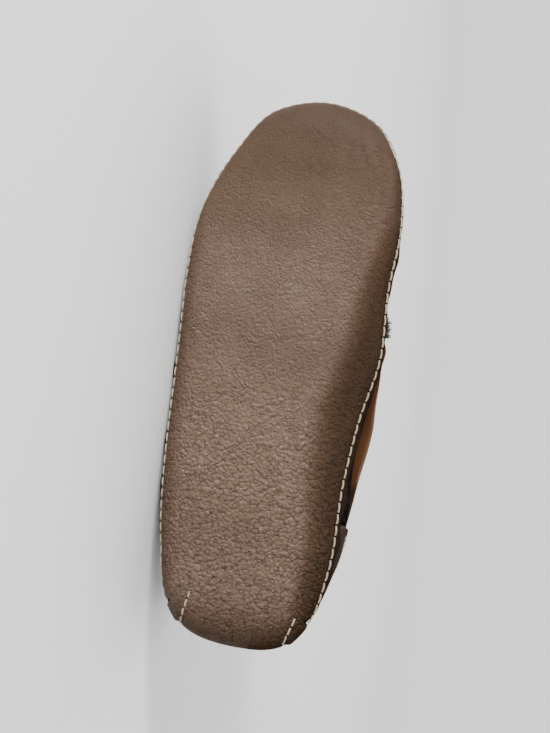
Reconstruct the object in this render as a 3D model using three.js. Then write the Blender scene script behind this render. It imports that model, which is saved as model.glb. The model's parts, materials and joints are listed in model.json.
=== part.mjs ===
// Lined moccasin slipper for the right foot, lying on its outer side as if tipped over on a floor.
// Millimetres. Every piece is first modelled on a standing shoe: x runs from heel to toe, y towards the
// inner (medial) side and z up. A group then lays the shoe down, sole towards -Y and toe towards -X.
import * as THREE from "three";
import { ConvexHull } from "three/addons/math/ConvexHull.js";

// Driving sizes of the last
const LENGTH = 285;
const BALL_WIDTH = 103;
const INSTEP_HEIGHT = 69;
const HEEL_HEIGHT = 63;
const SIDE_HEIGHT = 50;

// Leather and padding
const WALL = 3;
const LIP = 2;
const SOLE_THICKNESS = 4.5;
const INSOLE_THICKNESS = 3;
const COUNTER_THICKNESS = 1.4;
const WELT_THICKNESS = 0.8;

// Clearances: in general, of counter and welt above the sole's edge, under the counter, welt to counter
const GAP = 0.4;
const WELT_LIFT = 1.2;
const COUNTER_LIFT = 1.8;
const COUNTER_GAP = 0.7;
const WELT_START = 0.004;

// Dish of the sole: its least depth, and how far its inside corner lies below the seam; the upper's foot
// stands a little above that corner
const DISH = { leastDepth: 0.5, belowSeam: 2 };
const FOOT_LIFT = 0.7;

// Ground line under the foot: arch lift and toe spring
const ARCH = { start: 0.28, top: 0.44, end: 0.6, lift: 2.5 };
const TOE_SPRING = { start: 0.76, lift: 6.5 };

// Oval of the collar, seen from above, and the extra height of its inner side
const COLLAR = { middle: 0.293, halfLength: 0.265, halfWidth: 0.345, shift: -0.01, fullness: 2.2 };
const MEDIAL_LIFT = 1.2;

// Sections of the shoe, one row each, going round the sole from the heel over the inner side to the toe.
// along, across: place on the seam line, in shares of LENGTH and BALL_WIDTH.
// stitch, rim: heights of the seam and of the turned-up edge above the ground line, in mm.
// flare: how far the edge stands out past the seam. roll: width of the rounded edge under the foot.
// turn: where the wall of this section meets the collar, in degrees from its back.
// rise, bulge: first handle of the wall's curve, up and outwards. reach, drop, belly: its second handle, as
// the share of the way from collar to seam, the mm below the collar and the mm outwards.
// apron: share of the way up the wall where the toe seam crosses it.
const SECTION_COLUMNS = [
  "along", "across", "stitch", "rim", "flare", "roll",
  "turn", "rise", "bulge", "reach", "drop", "belly", "apron",
];
const SECTIONS = {
  heelBack: [0.011, -0.01, 11, 30, -1.5, 17, 0, 22, -3.5, 0.55, 16, -2.8, 0.94],
  dartMedial: [0.03, 0.24, 10, 28, -1.2, 15, 20, 22, -3, 0.55, 16, -2.4, 0.94],
  notchMedial: [0.079, 0.338, 7, 11.5, 0, 11, 33, 20, 1.5, 0.6, 16, 1.2, 0.94],
  heelMedial: [0.158, 0.388, 5, 12.5, 1.8, 9, 51, 18, 3.1, 0.8, 15, 6.3, 0.94],
  waistMedial: [0.323, 0.401, 5, 13, 2.4, 9, 90, 16, 2.9, 0.92, 14, 19.4, 0.94],
  archMedial: [0.428, 0.43, 5, 13, 2.2, 9, 113, 16, 2.6, 0.92, 13, 24.4, 0.94],
  instepMedial: [0.535, 0.486, 5, 13, 1.6, 9, 132, 18, 2.6, 0.85, 10, 13.5, 0.9],
  jointMedial: [0.66, 0.478, 5, 13, 1.2, 9, 144, 21, 2.4, 0.66, 8, 3.2, 0.68],
  ballMedial: [0.772, 0.495, 5.5, 13, 1, 10, 155, 24, 2, 0.6, 6, 2, 0.53],
  bigToe: [0.877, 0.449, 8, 14.5, 0.4, 13, 164, 27, 1.2, 0.57, 9, 1, 0.46],
  toeMedial: [0.96, 0.322, 11, 17, 0, 19, 172, 28, 0.6, 0.56, 12, 0.5, 0.43],
  toeTip: [1.0, 0.06, 12, 18, 0, 22, 180, 28, 0.6, 0.55, 13, 0.5, 0.42],
  toeLateral: [0.968, -0.235, 11, 17, 0, 20, 188, 28, 0.6, 0.56, 12, 0.5, 0.43],
  littleToe: [0.884, -0.38, 9, 15, 0.6, 15, 197, 27, 1.4, 0.57, 9, 3, 0.46],
  ballLateral: [0.758, -0.497, 6, 13, 2, 10, 207, 22, 3.2, 0.62, 6, 11.5, 0.53],
  jointLateral: [0.656, -0.512, 5, 13, 2.2, 9, 217, 20, 3, 0.72, 6, 13.8, 0.68],
  instepLateral: [0.55, -0.5, 5, 13, 2.4, 9, 229, 17, 2.6, 0.84, 6.5, 10, 0.9],
  midLateral: [0.44, -0.491, 5, 13, 2.6, 9, 248, 16, 2.6, 0.92, 7, 7.8, 0.94],
  waistLateral: [0.33, -0.473, 5, 13, 2.8, 9, 270, 16, 2.6, 0.94, 7, 9.6, 0.94],
  heelLateral: [0.17, -0.421, 5.5, 12.5, 2, 9, 308, 18, 2, 0.82, 13, 3.5, 0.94],
  notchLateral: [0.073, -0.352, 7, 11.5, 0, 11, 328, 20, 1, 0.6, 16, 1.2, 0.94],
  dartLateral: [0.036, -0.275, 10, 28, -1.2, 15, 340, 22, -3, 0.55, 16, -2.4, 0.94],
};

// Raised seam of the apron: its height, half its width as a share of the wall, the shoulder and fullness
// of its profile, and where it ends beside the collar. Then the folded pleats beside the heel: their extra
// thickness, and the sections over which it comes in
const APRON_RAISE = 2.2;
const APRON_HALF_WIDTH = 0.035;
const APRON_SHOULDER = 0.55;
const APRON_FULLNESS = 1.25;
const APRON_END_TURN = 134;
const APRON_FADE_TURN = 12;
const PLEAT_RAISE = 1.1;
const PLEAT_EDGE = 0.25;

// Rounded edge of the insole: how far round the dish it reaches, and where its shoulder lies
const INSOLE_EDGE = { angle: 30, shoulderHeight: 0.7, topShare: 0.9 };

// Leather counter round the heel: its front edges along the shoe, and its top as shares of the wall
const COUNTER = { front: 0.245, slopeStart: 0.05, top: 0.86, frontTop: 0.5 };
// Black welt strip that starts at the counter's front edges, where its tails are taller
const WELT = { height: 3.4, tailHeight: 11, tailEnd: 0.37 };

// Pile roll on the collar: half width either side of the wall's middle, and height above its edge
const TRIM_HALF_WIDTH = 4;
const TRIM_HEIGHT = 6;

// Mesh fineness
const STEPS_PER_SECTION = 5;
const STEPS_UNDER_APRON = 6;
const STEPS_OVER_APRON = 5;
const STEPS_INSIDE = 7;
const EDGE_ANGLES = [0, 24, 45, 63, 78, 90];
const DISH_ANGLES = [90, 50, 0];
const COUNTER_STEPS = 6;
const WELT_STEPS = 2;
const TRIM_SIDES = 10;

// Small steps for slopes, along the loop and up the wall, and the rounds of a search by halves
const SEAM_STEP = 0.01;
const WALL_STEP = 0.02;
const COLLAR_STEP = 0.04;
const SEARCH_ROUNDS = 30;
// Top of the search up a wall, where it still climbs, and the least step beside the end of a stretch
const CLIMBING_SHARE = 0.7;
const LEAST_END_STEP = 0.3;

// Rolls over the floor until the shoe lies still
const SETTLING_TURNS = 12;

const sections = Object.values(SECTIONS).map((row) =>
  Object.fromEntries(SECTION_COLUMNS.map((name, i) => [name, row[i]])),
);
const COUNT = sections.length;
const TOE_INDEX = Object.keys(SECTIONS).indexOf("toeTip");
const DART_INDEX = Object.keys(SECTIONS).indexOf("dartMedial");
const NOTCH_INDEX = Object.keys(SECTIONS).indexOf("notchMedial");

const clamp01 = (value) => Math.min(1, Math.max(0, value));
const smooth = (value) => clamp01(value) ** 2 * (3 - 2 * clamp01(value));
const radians = THREE.MathUtils.degToRad;

// Knots of the loop: how far round the seam line each section lies.
function seamKnots() {
  const knots = [0];
  for (let i = 0; i < COUNT; i++) {
    const a = sections[i];
    const b = sections[(i + 1) % COUNT];
    const step = Math.hypot((b.along - a.along) * LENGTH, (b.across - a.across) * BALL_WIDTH);
    knots.push(knots[i] + step);
  }
  return knots;
}
const KNOTS = seamKnots();

// Value of one column at place s, counted in sections round the loop. The curve is a cubic whose slopes
// come from its neighbours, and where a column turns back it is held flat so that it never overshoots.
function column(name, s, heldFlat = true) {
  const wrapped = ((s % COUNT) + COUNT) % COUNT;
  const i = Math.floor(wrapped);
  const u = wrapped - i;
  const value = (k) => {
    const whole = sections[((k % COUNT) + COUNT) % COUNT][name];
    return name === "turn" ? whole + 360 * Math.floor(k / COUNT) : whole;
  };
  const width = (k) => {
    const at = ((k % COUNT) + COUNT) % COUNT;
    return KNOTS[at + 1] - KNOTS[at];
  };
  const slope = (k) => (value(k + 1) - value(k)) / width(k);
  const tangent = (k) => {
    const before = slope(k - 1);
    const after = slope(k);
    if (!heldFlat) {
      return (before * width(k) + after * width(k - 1)) / (width(k) + width(k - 1));
    }
    return before * after <= 0 ? 0 : (2 * before * after) / (before + after);
  };
  const h = width(i);
  const u2 = u * u;
  const u3 = u2 * u;
  return (
    (2 * u3 - 3 * u2 + 1) * value(i) +
    (u3 - 2 * u2 + u) * h * tangent(i) +
    (3 * u2 - 2 * u3) * value(i + 1) +
    (u3 - u2) * h * tangent(i + 1)
  );
}

// Height of the ground line under a place along the shoe.
function groundLine(x) {
  const share = x / LENGTH;
  const up = smooth((share - ARCH.start) / (ARCH.top - ARCH.start));
  const down = smooth((ARCH.end - share) / (ARCH.end - ARCH.top));
  const toe = clamp01((share - TOE_SPRING.start) / (1 - TOE_SPRING.start));
  return ARCH.lift * Math.min(up, down) + TOE_SPRING.lift * toe * toe;
}

// Point of the seam line at s, with its outward direction in plan.
function seamPoint(s) {
  const at = (k) => [
    column("along", k, false) * LENGTH,
    column("across", k, false) * BALL_WIDTH,
  ];
  const [x, y] = at(s);
  const [xa, ya] = at(s - SEAM_STEP);
  const [xb, yb] = at(s + SEAM_STEP);
  const run = Math.hypot(xb - xa, yb - ya);
  return { x, y, outX: -(yb - ya) / run, outY: (xb - xa) / run };
}

// Point beside the seam line: out along its outward direction, and up from the ground line there.
function besideSeam(seam, out, up) {
  const x = seam.x + seam.outX * out;
  return new THREE.Vector3(x, seam.y + seam.outY * out, groundLine(x) + up);
}

// How far the sole's outer face stands out from the seam line at a height above the ground line.
function soleOut(s, up) {
  const stitch = column("stitch", s);
  const rim = column("rim", s);
  if (up < stitch) {
    const left = 1 - up / stitch;
    return -column("roll", s) * (1 - Math.sqrt(1 - left * left));
  }
  return (column("flare", s) * (up - stitch)) / (rim - stitch);
}

// Height of the inside corner of the sole's dish, where the turned-up edge starts.
const innerCorner = (s) =>
  SOLE_THICKNESS + Math.max(DISH.leastDepth, column("stitch", s) - DISH.belowSeam);

// Point of the collar at a turn round its oval.
function collarPoint(turn) {
  const c = Math.cos(radians(turn));
  const d = Math.sin(radians(turn));
  const full = (v) => Math.sign(v) * Math.abs(v) ** (2 / COLLAR.fullness);
  const x = (COLLAR.middle - COLLAR.halfLength * full(c)) * LENGTH;
  const y = (COLLAR.shift + COLLAR.halfWidth * full(d)) * BALL_WIDTH;
  const back = Math.max(0, c) ** 2 * (HEEL_HEIGHT - SIDE_HEIGHT);
  const front = Math.max(0, -c) ** 2 * (INSTEP_HEIGHT - SIDE_HEIGHT);
  return new THREE.Vector3(x, y, SIDE_HEIGHT + back + front + MEDIAL_LIFT * d);
}

// The curve that the upper's outer face follows from inside the sole's edge up to the collar.
function wallCurve(s) {
  const seam = seamPoint(s);
  const footUp = innerCorner(s) + FOOT_LIFT;
  const out = soleOut(s, footUp) - LIP - GAP;
  const foot = besideSeam(seam, out, footUp);
  const collar = collarPoint(column("turn", s));
  const first = besideSeam(seam, out + column("bulge", s), footUp);
  first.z = foot.z + column("rise", s);
  const second = collar.clone().lerp(foot, column("reach", s));
  second.x += seam.outX * column("belly", s);
  second.y += seam.outY * column("belly", s);
  second.z = collar.z - column("drop", s);
  return new THREE.CubicBezierCurve3(foot, first, second, collar);
}

// Outward direction of the upper at place s and share v of the way up its wall.
function wallNormal(s, v) {
  const low = Math.max(0, v - WALL_STEP);
  const high = Math.min(1, v + WALL_STEP);
  const along = wallCurve(s + WALL_STEP).getPoint(v).sub(wallCurve(s - WALL_STEP).getPoint(v));
  const curve = wallCurve(s);
  const up = curve.getPoint(high).sub(curve.getPoint(low));
  return up.cross(along).normalize();
}

// Point of the upper's outer face, moved out by offset.
function wallPoint(s, v, offset = 0) {
  return wallCurve(s).getPoint(v).addScaledVector(wallNormal(s, v), offset);
}

// Share of the way up the wall at which it reaches a height.
function shareAtHeight(s, height) {
  const curve = wallCurve(s);
  let low = 0;
  let high = CLIMBING_SHARE;
  for (let i = 0; i < SEARCH_ROUNDS; i++) {
    const middle = (low + high) / 2;
    if (curve.getPoint(middle).z < height) low = middle;
    else high = middle;
  }
  return (low + high) / 2;
}

// Grows a mesh from rows of points that share one length, joining each row to the next.
class Skin {
  constructor() {
    this.positions = [];
    this.faces = [];
  }
  addRow(points) {
    const first = this.positions.length / 3;
    points.forEach((p) => this.positions.push(p.x, p.y, p.z));
    return { first, length: points.length };
  }
  quad(a, b, c, d) {
    this.faces.push(a, b, c, a, c, d);
  }
  join(low, high, closed) {
    const last = closed ? low.length : low.length - 1;
    for (let i = 0; i < last; i++) {
      const j = (i + 1) % low.length;
      this.quad(low.first + i, low.first + j, high.first + j, high.first + i);
    }
  }
  // Fills a loop whose two halves face each other across the shoe.
  fill(row, facingUp) {
    const half = row.length / 2;
    for (let i = 0; i < half; i++) {
      const a = row.first + i;
      const b = row.first + i + 1;
      const c = row.first + ((row.length - i - 1) % row.length);
      const d = row.first + ((row.length - i) % row.length);
      const corners = [a, b, c, d].filter((v, k, all) => all.indexOf(v) === k);
      if (!facingUp) corners.reverse();
      this.faces.push(corners[0], corners[2], corners[1]);
      if (corners.length === 4) this.faces.push(corners[0], corners[3], corners[2]);
    }
  }
  geometry() {
    const made = new THREE.BufferGeometry();
    made.setAttribute("position", new THREE.Float32BufferAttribute(this.positions, 3));
    made.setIndex(this.faces);
    made.computeVertexNormals();
    return made;
  }
}

// Places round the loop, STEPS_PER_SECTION to each section.
const WHOLE_LOOP = Array.from({ length: COUNT * STEPS_PER_SECTION }, (_, i) => i / STEPS_PER_SECTION);

// The same places between two ends, with the ends themselves.
function placesBetween(from, to) {
  const stretch = [from];
  const first = Math.ceil(from * STEPS_PER_SECTION + LEAST_END_STEP);
  const beyond = to * STEPS_PER_SECTION - LEAST_END_STEP;
  for (let i = first; i < beyond; i++) stretch.push(i / STEPS_PER_SECTION);
  stretch.push(to);
  return stretch;
}

// Height of the raised apron seam, from the inner collar corner round the toe to the outer one.
function apronRaise(s) {
  const turn = column("turn", s);
  const inFront = Math.min(turn, 360 - turn) - APRON_END_TURN;
  return APRON_RAISE * smooth(inFront / APRON_FADE_TURN + 0.5);
}

// Shares of the way up the wall at place s, close together where the apron seam crosses.
function wallShares(s) {
  const seam = column("apron", s);
  const w = APRON_HALF_WIDTH;
  const shares = [];
  for (let i = 0; i < STEPS_UNDER_APRON; i++) shares.push((i / STEPS_UNDER_APRON) * (seam - w));
  for (const place of [-1, -APRON_SHOULDER, 0, APRON_SHOULDER, 1]) shares.push(seam + w * place);
  for (let i = 1; i <= STEPS_OVER_APRON; i++) {
    shares.push(seam + w + (i / STEPS_OVER_APRON) * (1 - seam - w));
  }
  return shares;
}

// The upper: one hollow wall, open at the collar and underneath, with the apron seam raised on it.
function upperGeometry() {
  const skin = new Skin();
  const outside = WHOLE_LOOP.map((s) =>
    wallShares(s).map((v) => {
      const fromSeam = Math.abs(v - column("apron", s)) / APRON_HALF_WIDTH;
      return wallPoint(s, v, apronRaise(s) * smooth(APRON_FULLNESS * (1 - fromSeam)));
    }),
  );
  const inside = WHOLE_LOOP.map((s) =>
    Array.from({ length: STEPS_INSIDE + 1 }, (_, i) => wallPoint(s, 1 - i / STEPS_INSIDE, -WALL)),
  );
  const rings = outside[0].map((_, k) => skin.addRow(outside.map((wall) => wall[k])));
  inside[0].forEach((_, k) => rings.push(skin.addRow(inside.map((wall) => wall[k]))));
  rings.forEach((ring, k) => skin.join(rings[(k + 1) % rings.length], ring, true));
  return skin.geometry();
}

// Extra thickness of the folded pleat between the heel's dart seam and the notch at its corner.
function pleatRaise(s) {
  const fromBack = Math.min(s, COUNT - s);
  const rise = smooth((fromBack - DART_INDEX) / PLEAT_EDGE);
  const fall = smooth((NOTCH_INDEX - fromBack) / PLEAT_EDGE);
  return PLEAT_RAISE * Math.min(rise, fall);
}

// The sole: a dish of leather, rounded under its edge and turned up past the seam, higher round the heel.
function soleGeometry() {
  const skin = new Skin();
  const seams = WHOLE_LOOP.map((s) => seamPoint(s));
  const ring = (pointAt) => skin.addRow(WHOLE_LOOP.map((s, i) => besideSeam(seams[i], ...pointAt(s))));
  const edge = (s, degrees) => {
    const a = radians(degrees);
    const raise = pleatRaise(s) * Math.sin(a);
    return [column("roll", s) * (Math.sin(a) - 1) + raise, column("stitch", s) * (1 - Math.cos(a))];
  };
  const dish = (s, degrees) => {
    const a = radians(degrees);
    const corner = soleOut(s, innerCorner(s)) - LIP;
    const out = corner - (column("roll", s) + corner) * (1 - Math.sin(a));
    return [out, SOLE_THICKNESS + (innerCorner(s) - SOLE_THICKNESS) * (1 - Math.cos(a))];
  };
  const rings = EDGE_ANGLES.map((degrees) => ring((s) => edge(s, degrees)));
  rings.push(ring((s) => [column("flare", s) + pleatRaise(s), column("rim", s)]));
  rings.push(ring((s) => [column("flare", s) - LIP, column("rim", s)]));
  DISH_ANGLES.forEach((degrees) => rings.push(ring((s) => dish(s, degrees))));
  for (let k = 0; k + 1 < rings.length; k++) skin.join(rings[k + 1], rings[k], true);
  skin.fill(rings[0], false);
  skin.fill(rings[rings.length - 1], true);
  return skin.geometry();
}

// The insole: a plate that lies in the sole's dish, inside the foot of the upper.
function insoleGeometry() {
  const skin = new Skin();
  const rows = [];
  const share = Math.sin(radians(INSOLE_EDGE.angle));
  const rise = 1 - Math.cos(radians(INSOLE_EDGE.angle));
  const ring = (edgeShare, up) =>
    WHOLE_LOOP.map((s) => {
      const out = -column("roll", s) + (column("roll", s) - LIP) * edgeShare;
      return besideSeam(seamPoint(s), out, SOLE_THICKNESS + GAP + up(s));
    });
  const edgeLift = (s) => rise * (innerCorner(s) - SOLE_THICKNESS);
  rows.push(skin.addRow(ring(0, () => 0)));
  const shoulder = INSOLE_THICKNESS * INSOLE_EDGE.shoulderHeight;
  rows.push(skin.addRow(ring(share, (s) => edgeLift(s) + shoulder)));
  rows.push(skin.addRow(ring(share * INSOLE_EDGE.topShare, (s) => edgeLift(s) + INSOLE_THICKNESS)));
  skin.join(rows[1], rows[0], true);
  skin.join(rows[2], rows[1], true);
  skin.fill(rows[0], false);
  skin.fill(rows[2], true);
  return skin.geometry();
}

// A strip laid on the upper between two shares of its wall, cut from its own face pushed out twice.
function overlayGeometry(stretch, lowShare, highShare, thickness, steps, gap = GAP) {
  const skin = new Skin();
  const shares = Array.from({ length: steps + 1 }, (_, i) => i / steps);
  const line = (share, offset) =>
    skin.addRow(
      stretch.map((s) => wallPoint(s, lowShare(s) + share * (highShare(s) - lowShare(s)), offset)),
    );
  const rings = shares.map((share) => line(share, gap + thickness));
  shares.reverse().forEach((share) => rings.push(line(share, gap)));
  rings.forEach((ring, k) => skin.join(rings[(k + 1) % rings.length], ring, false));
  for (const [end, turned] of [[0, true], [stretch.length - 1, false]]) {
    const corners = rings.map((ring) => ring.first + end);
    for (let k = 0; k < steps; k++) {
      const last = corners.length - 1;
      const quad = [corners[k], corners[k + 1], corners[last - k - 1], corners[last - k]];
      if (turned) quad.reverse();
      skin.quad(...quad);
    }
  }
  return skin.geometry();
}

// Place round the loop where the seam line reaches a share of the length, searched between two sections.
function placeAlong(share, low, high) {
  for (let i = 0; i < SEARCH_ROUNDS; i++) {
    const middle = (low + high) / 2;
    const short = (column("along", middle, false) - share) * (column("along", high, false) - share) > 0;
    if (short) high = middle;
    else low = middle;
  }
  return (low + high) / 2;
}
const rimTop = (s, above) => {
  const flare = besideSeam(seamPoint(s), column("flare", s), column("rim", s) + above);
  return shareAtHeight(s, flare.z);
};

// The counter: leather round the heel, from just above the sole's edge to below the collar.
function counterGeometry() {
  const inner = placeAlong(COUNTER.front, NOTCH_INDEX, TOE_INDEX);
  const outer = placeAlong(COUNTER.front, TOE_INDEX, COUNT - NOTCH_INDEX);
  const stretch = placesBetween(outer - COUNT, inner);
  const top = (s) => {
    const along = column("along", s, false);
    const forward = smooth((along - COUNTER.slopeStart) / (COUNTER.front - COUNTER.slopeStart));
    return COUNTER.top + (COUNTER.frontTop - COUNTER.top) * forward;
  };
  const bottom = (s) => rimTop(s, COUNTER_LIFT);
  return overlayGeometry(stretch, bottom, top, COUNTER_THICKNESS, COUNTER_STEPS, COUNTER_GAP);
}

// The welt: a black strip on top of the sole's edge, from one front edge of the counter round the toe.
function weltGeometry() {
  const inner = placeAlong(COUNTER.front + WELT_START, NOTCH_INDEX, TOE_INDEX);
  const outer = placeAlong(COUNTER.front + WELT_START, TOE_INDEX, COUNT - NOTCH_INDEX);
  const stretch = placesBetween(inner, outer);
  const height = (s) => {
    const tail = smooth((WELT.tailEnd - column("along", s, false)) / (WELT.tailEnd - COUNTER.front));
    return WELT.height + (WELT.tailHeight - WELT.height) * tail;
  };
  return overlayGeometry(
    stretch,
    (s) => rimTop(s, WELT_LIFT),
    (s) => rimTop(s, WELT_LIFT + height(s)),
    WELT_THICKNESS,
    WELT_STEPS,
  );
}

// The trim: a roll of pile that sits on the collar's edge all the way round.
function trimGeometry() {
  const skin = new Skin();
  const stretch = WHOLE_LOOP.filter((_, i) => i % 2 === 0);
  const hoops = stretch.map((s) => {
    const edge = wallPoint(s, 1, -WALL / 2);
    const out = wallNormal(s, 1);
    const curve = wallCurve(s);
    const up = curve.getPoint(1).sub(curve.getPoint(1 - COLLAR_STEP)).normalize();
    return Array.from({ length: TRIM_SIDES }, (_, k) => {
      const a = ((k + 0.5) / TRIM_SIDES) * 2 * Math.PI;
      const lift = GAP + (TRIM_HEIGHT / 2) * (1 - Math.cos(a) / Math.cos(Math.PI / TRIM_SIDES));
      return edge
        .clone()
        .addScaledVector(out, TRIM_HALF_WIDTH * Math.sin(a))
        .addScaledVector(up, lift);
    });
  });
  const rings = hoops[0].map((_, k) => skin.addRow(hoops.map((hoop) => hoop[k])));
  rings.forEach((ring, k) => skin.join(rings[(k + 1) % rings.length], ring, true));
  return skin.geometry();
}

// Materials
const soleLeather = new THREE.MeshStandardMaterial({ color: 0x6e5547, roughness: 0.62, metalness: 0 });
const tanLeather = new THREE.MeshStandardMaterial({ color: 0x8a4f1c, roughness: 0.55, metalness: 0 });
const blackStrip = new THREE.MeshStandardMaterial({ color: 0x17171a, roughness: 0.7, metalness: 0 });
const blackPile = new THREE.MeshStandardMaterial({ color: 0x1b1b1e, roughness: 0.95, metalness: 0 });

const PIECES = [
  ["sole", soleGeometry, soleLeather],
  ["upper", upperGeometry, tanLeather],
  ["insole", insoleGeometry, blackPile],
  ["counter", counterGeometry, soleLeather],
  ["welt", weltGeometry, blackStrip],
  ["collar_trim", trimGeometry, blackPile],
];

// The standing shoe, turned so that its sole faces -Y, its toe -X and its inner side up.
const standing = new THREE.Group();
for (const [name, geometry, material] of PIECES) {
  const mesh = new THREE.Mesh(geometry(), material);
  mesh.name = name;
  standing.add(mesh);
}
standing.rotation.set(-Math.PI / 2, 0, Math.PI);

// Corner points of the whole shoe where it now lies, and its centre of mass.
function weigh(group) {
  group.updateMatrixWorld(true);
  const corners = [];
  const centre = new THREE.Vector3();
  let volume = 0;
  group.traverse((mesh) => {
    if (!mesh.isMesh) return;
    const position = mesh.geometry.getAttribute("position");
    const index = mesh.geometry.index.array;
    const points = Array.from({ length: position.count }, (_, i) =>
      new THREE.Vector3().fromBufferAttribute(position, i).applyMatrix4(mesh.matrixWorld),
    );
    corners.push(...points);
    for (let i = 0; i < index.length; i += 3) {
      const [a, b, c] = [points[index[i]], points[index[i + 1]], points[index[i + 2]]];
      const part = a.dot(b.clone().cross(c)) / 6;
      volume += part;
      centre.addScaledVector(a.clone().add(b).add(c), part / 4);
    }
  });
  return { corners, centre: centre.divideScalar(volume) };
}

// Turns the group until the face of its hull under its centre of mass lies level, as when it has settled.
function settle(group) {
  const down = new THREE.Vector3(0, 0, -1);
  const hit = new THREE.Vector3();
  for (let turns = 0; turns < SETTLING_TURNS; turns++) {
    const { corners, centre } = weigh(group);
    const plumb = new THREE.Ray(centre, down);
    const under = new ConvexHull().setFromPoints(corners).faces.find((face) => {
      const [a, b, c] = [face.edge.tail(), face.edge.head(), face.edge.next.head()].map((end) => end.point);
      return face.normal.z < 0 && plumb.intersectTriangle(a, b, c, false, hit);
    });
    group.quaternion.premultiply(new THREE.Quaternion().setFromUnitVectors(under.normal, down));
  }
}
settle(standing);

// The origin is under the middle of the shoe, on the floor.
const slipper = new THREE.Group();
slipper.add(standing);
slipper.updateMatrixWorld(true);
const box = new THREE.Box3().setFromObject(slipper, true);
standing.position.set(-(box.min.x + box.max.x) / 2, -(box.min.y + box.max.y) / 2, -box.min.z);

export default slipper;
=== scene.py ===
# Lined moccasin slipper for the right foot, lying on its outer side.
# Sizes are in millimetres on the standing shoe: x runs from heel to toe, y towards the inner side and z up.
# lay_down turns such places into metres on the shoe as it lies.
import json

import bmesh
import bpy
import numpy as np
from mathutils import Matrix, Vector
from mathutils.bvhtree import BVHTree


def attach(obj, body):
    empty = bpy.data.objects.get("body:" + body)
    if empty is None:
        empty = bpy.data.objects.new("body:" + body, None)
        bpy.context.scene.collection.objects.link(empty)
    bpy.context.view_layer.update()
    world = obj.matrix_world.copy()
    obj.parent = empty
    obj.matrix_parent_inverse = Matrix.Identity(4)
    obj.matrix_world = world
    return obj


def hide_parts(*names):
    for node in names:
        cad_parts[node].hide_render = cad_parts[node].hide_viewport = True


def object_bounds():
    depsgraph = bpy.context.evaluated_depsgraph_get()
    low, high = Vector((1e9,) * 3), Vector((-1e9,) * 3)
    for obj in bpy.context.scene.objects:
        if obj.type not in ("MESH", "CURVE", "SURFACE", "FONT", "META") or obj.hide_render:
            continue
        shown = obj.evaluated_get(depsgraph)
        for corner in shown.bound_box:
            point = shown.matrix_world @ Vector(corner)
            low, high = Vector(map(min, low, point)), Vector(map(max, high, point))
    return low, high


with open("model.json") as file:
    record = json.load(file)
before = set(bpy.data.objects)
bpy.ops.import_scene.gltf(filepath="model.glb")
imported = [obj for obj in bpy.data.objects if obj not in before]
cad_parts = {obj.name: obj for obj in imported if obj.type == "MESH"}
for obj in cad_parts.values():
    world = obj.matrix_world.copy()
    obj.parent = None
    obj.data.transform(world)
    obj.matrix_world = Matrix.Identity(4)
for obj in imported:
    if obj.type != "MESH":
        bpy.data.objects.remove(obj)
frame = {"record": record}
cad_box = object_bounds()

# Sole
# One piece of soft pebble-grained leather, moulded into a shallow dish: round under the edge of the foot,
# sewn to the upper just above the ground and turned up past that seam as a thin lip. At the heel it wraps
# up the back, folded into a stitched dart at each corner, with a cut notch where the lip of the side ends.
LENGTH = 285.0
BALL_WIDTH = 103.0
LIP = 2.0
LIP_ROUND = 0.9
SOLE_THICKNESS = 4.5
DISH = {"least_depth": 0.5, "below_seam": 2.0}
ARCH = {"start": 0.28, "top": 0.44, "end": 0.6, "lift": 2.5}
TOE_SPRING = {"start": 0.76, "lift": 6.5}
PLEAT = {"raise": 1.1, "edge": 0.25}
SOLE_COLUMNS = 1100
EDGE_RINGS = 14
LIP_RINGS = 8
SOLE_ROWS = 36
HIDDEN_ROWS = 4
INNER_LIP_RINGS = 3
SEAM_SAMPLES = 4001
HALF_SAMPLES = 2001

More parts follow.
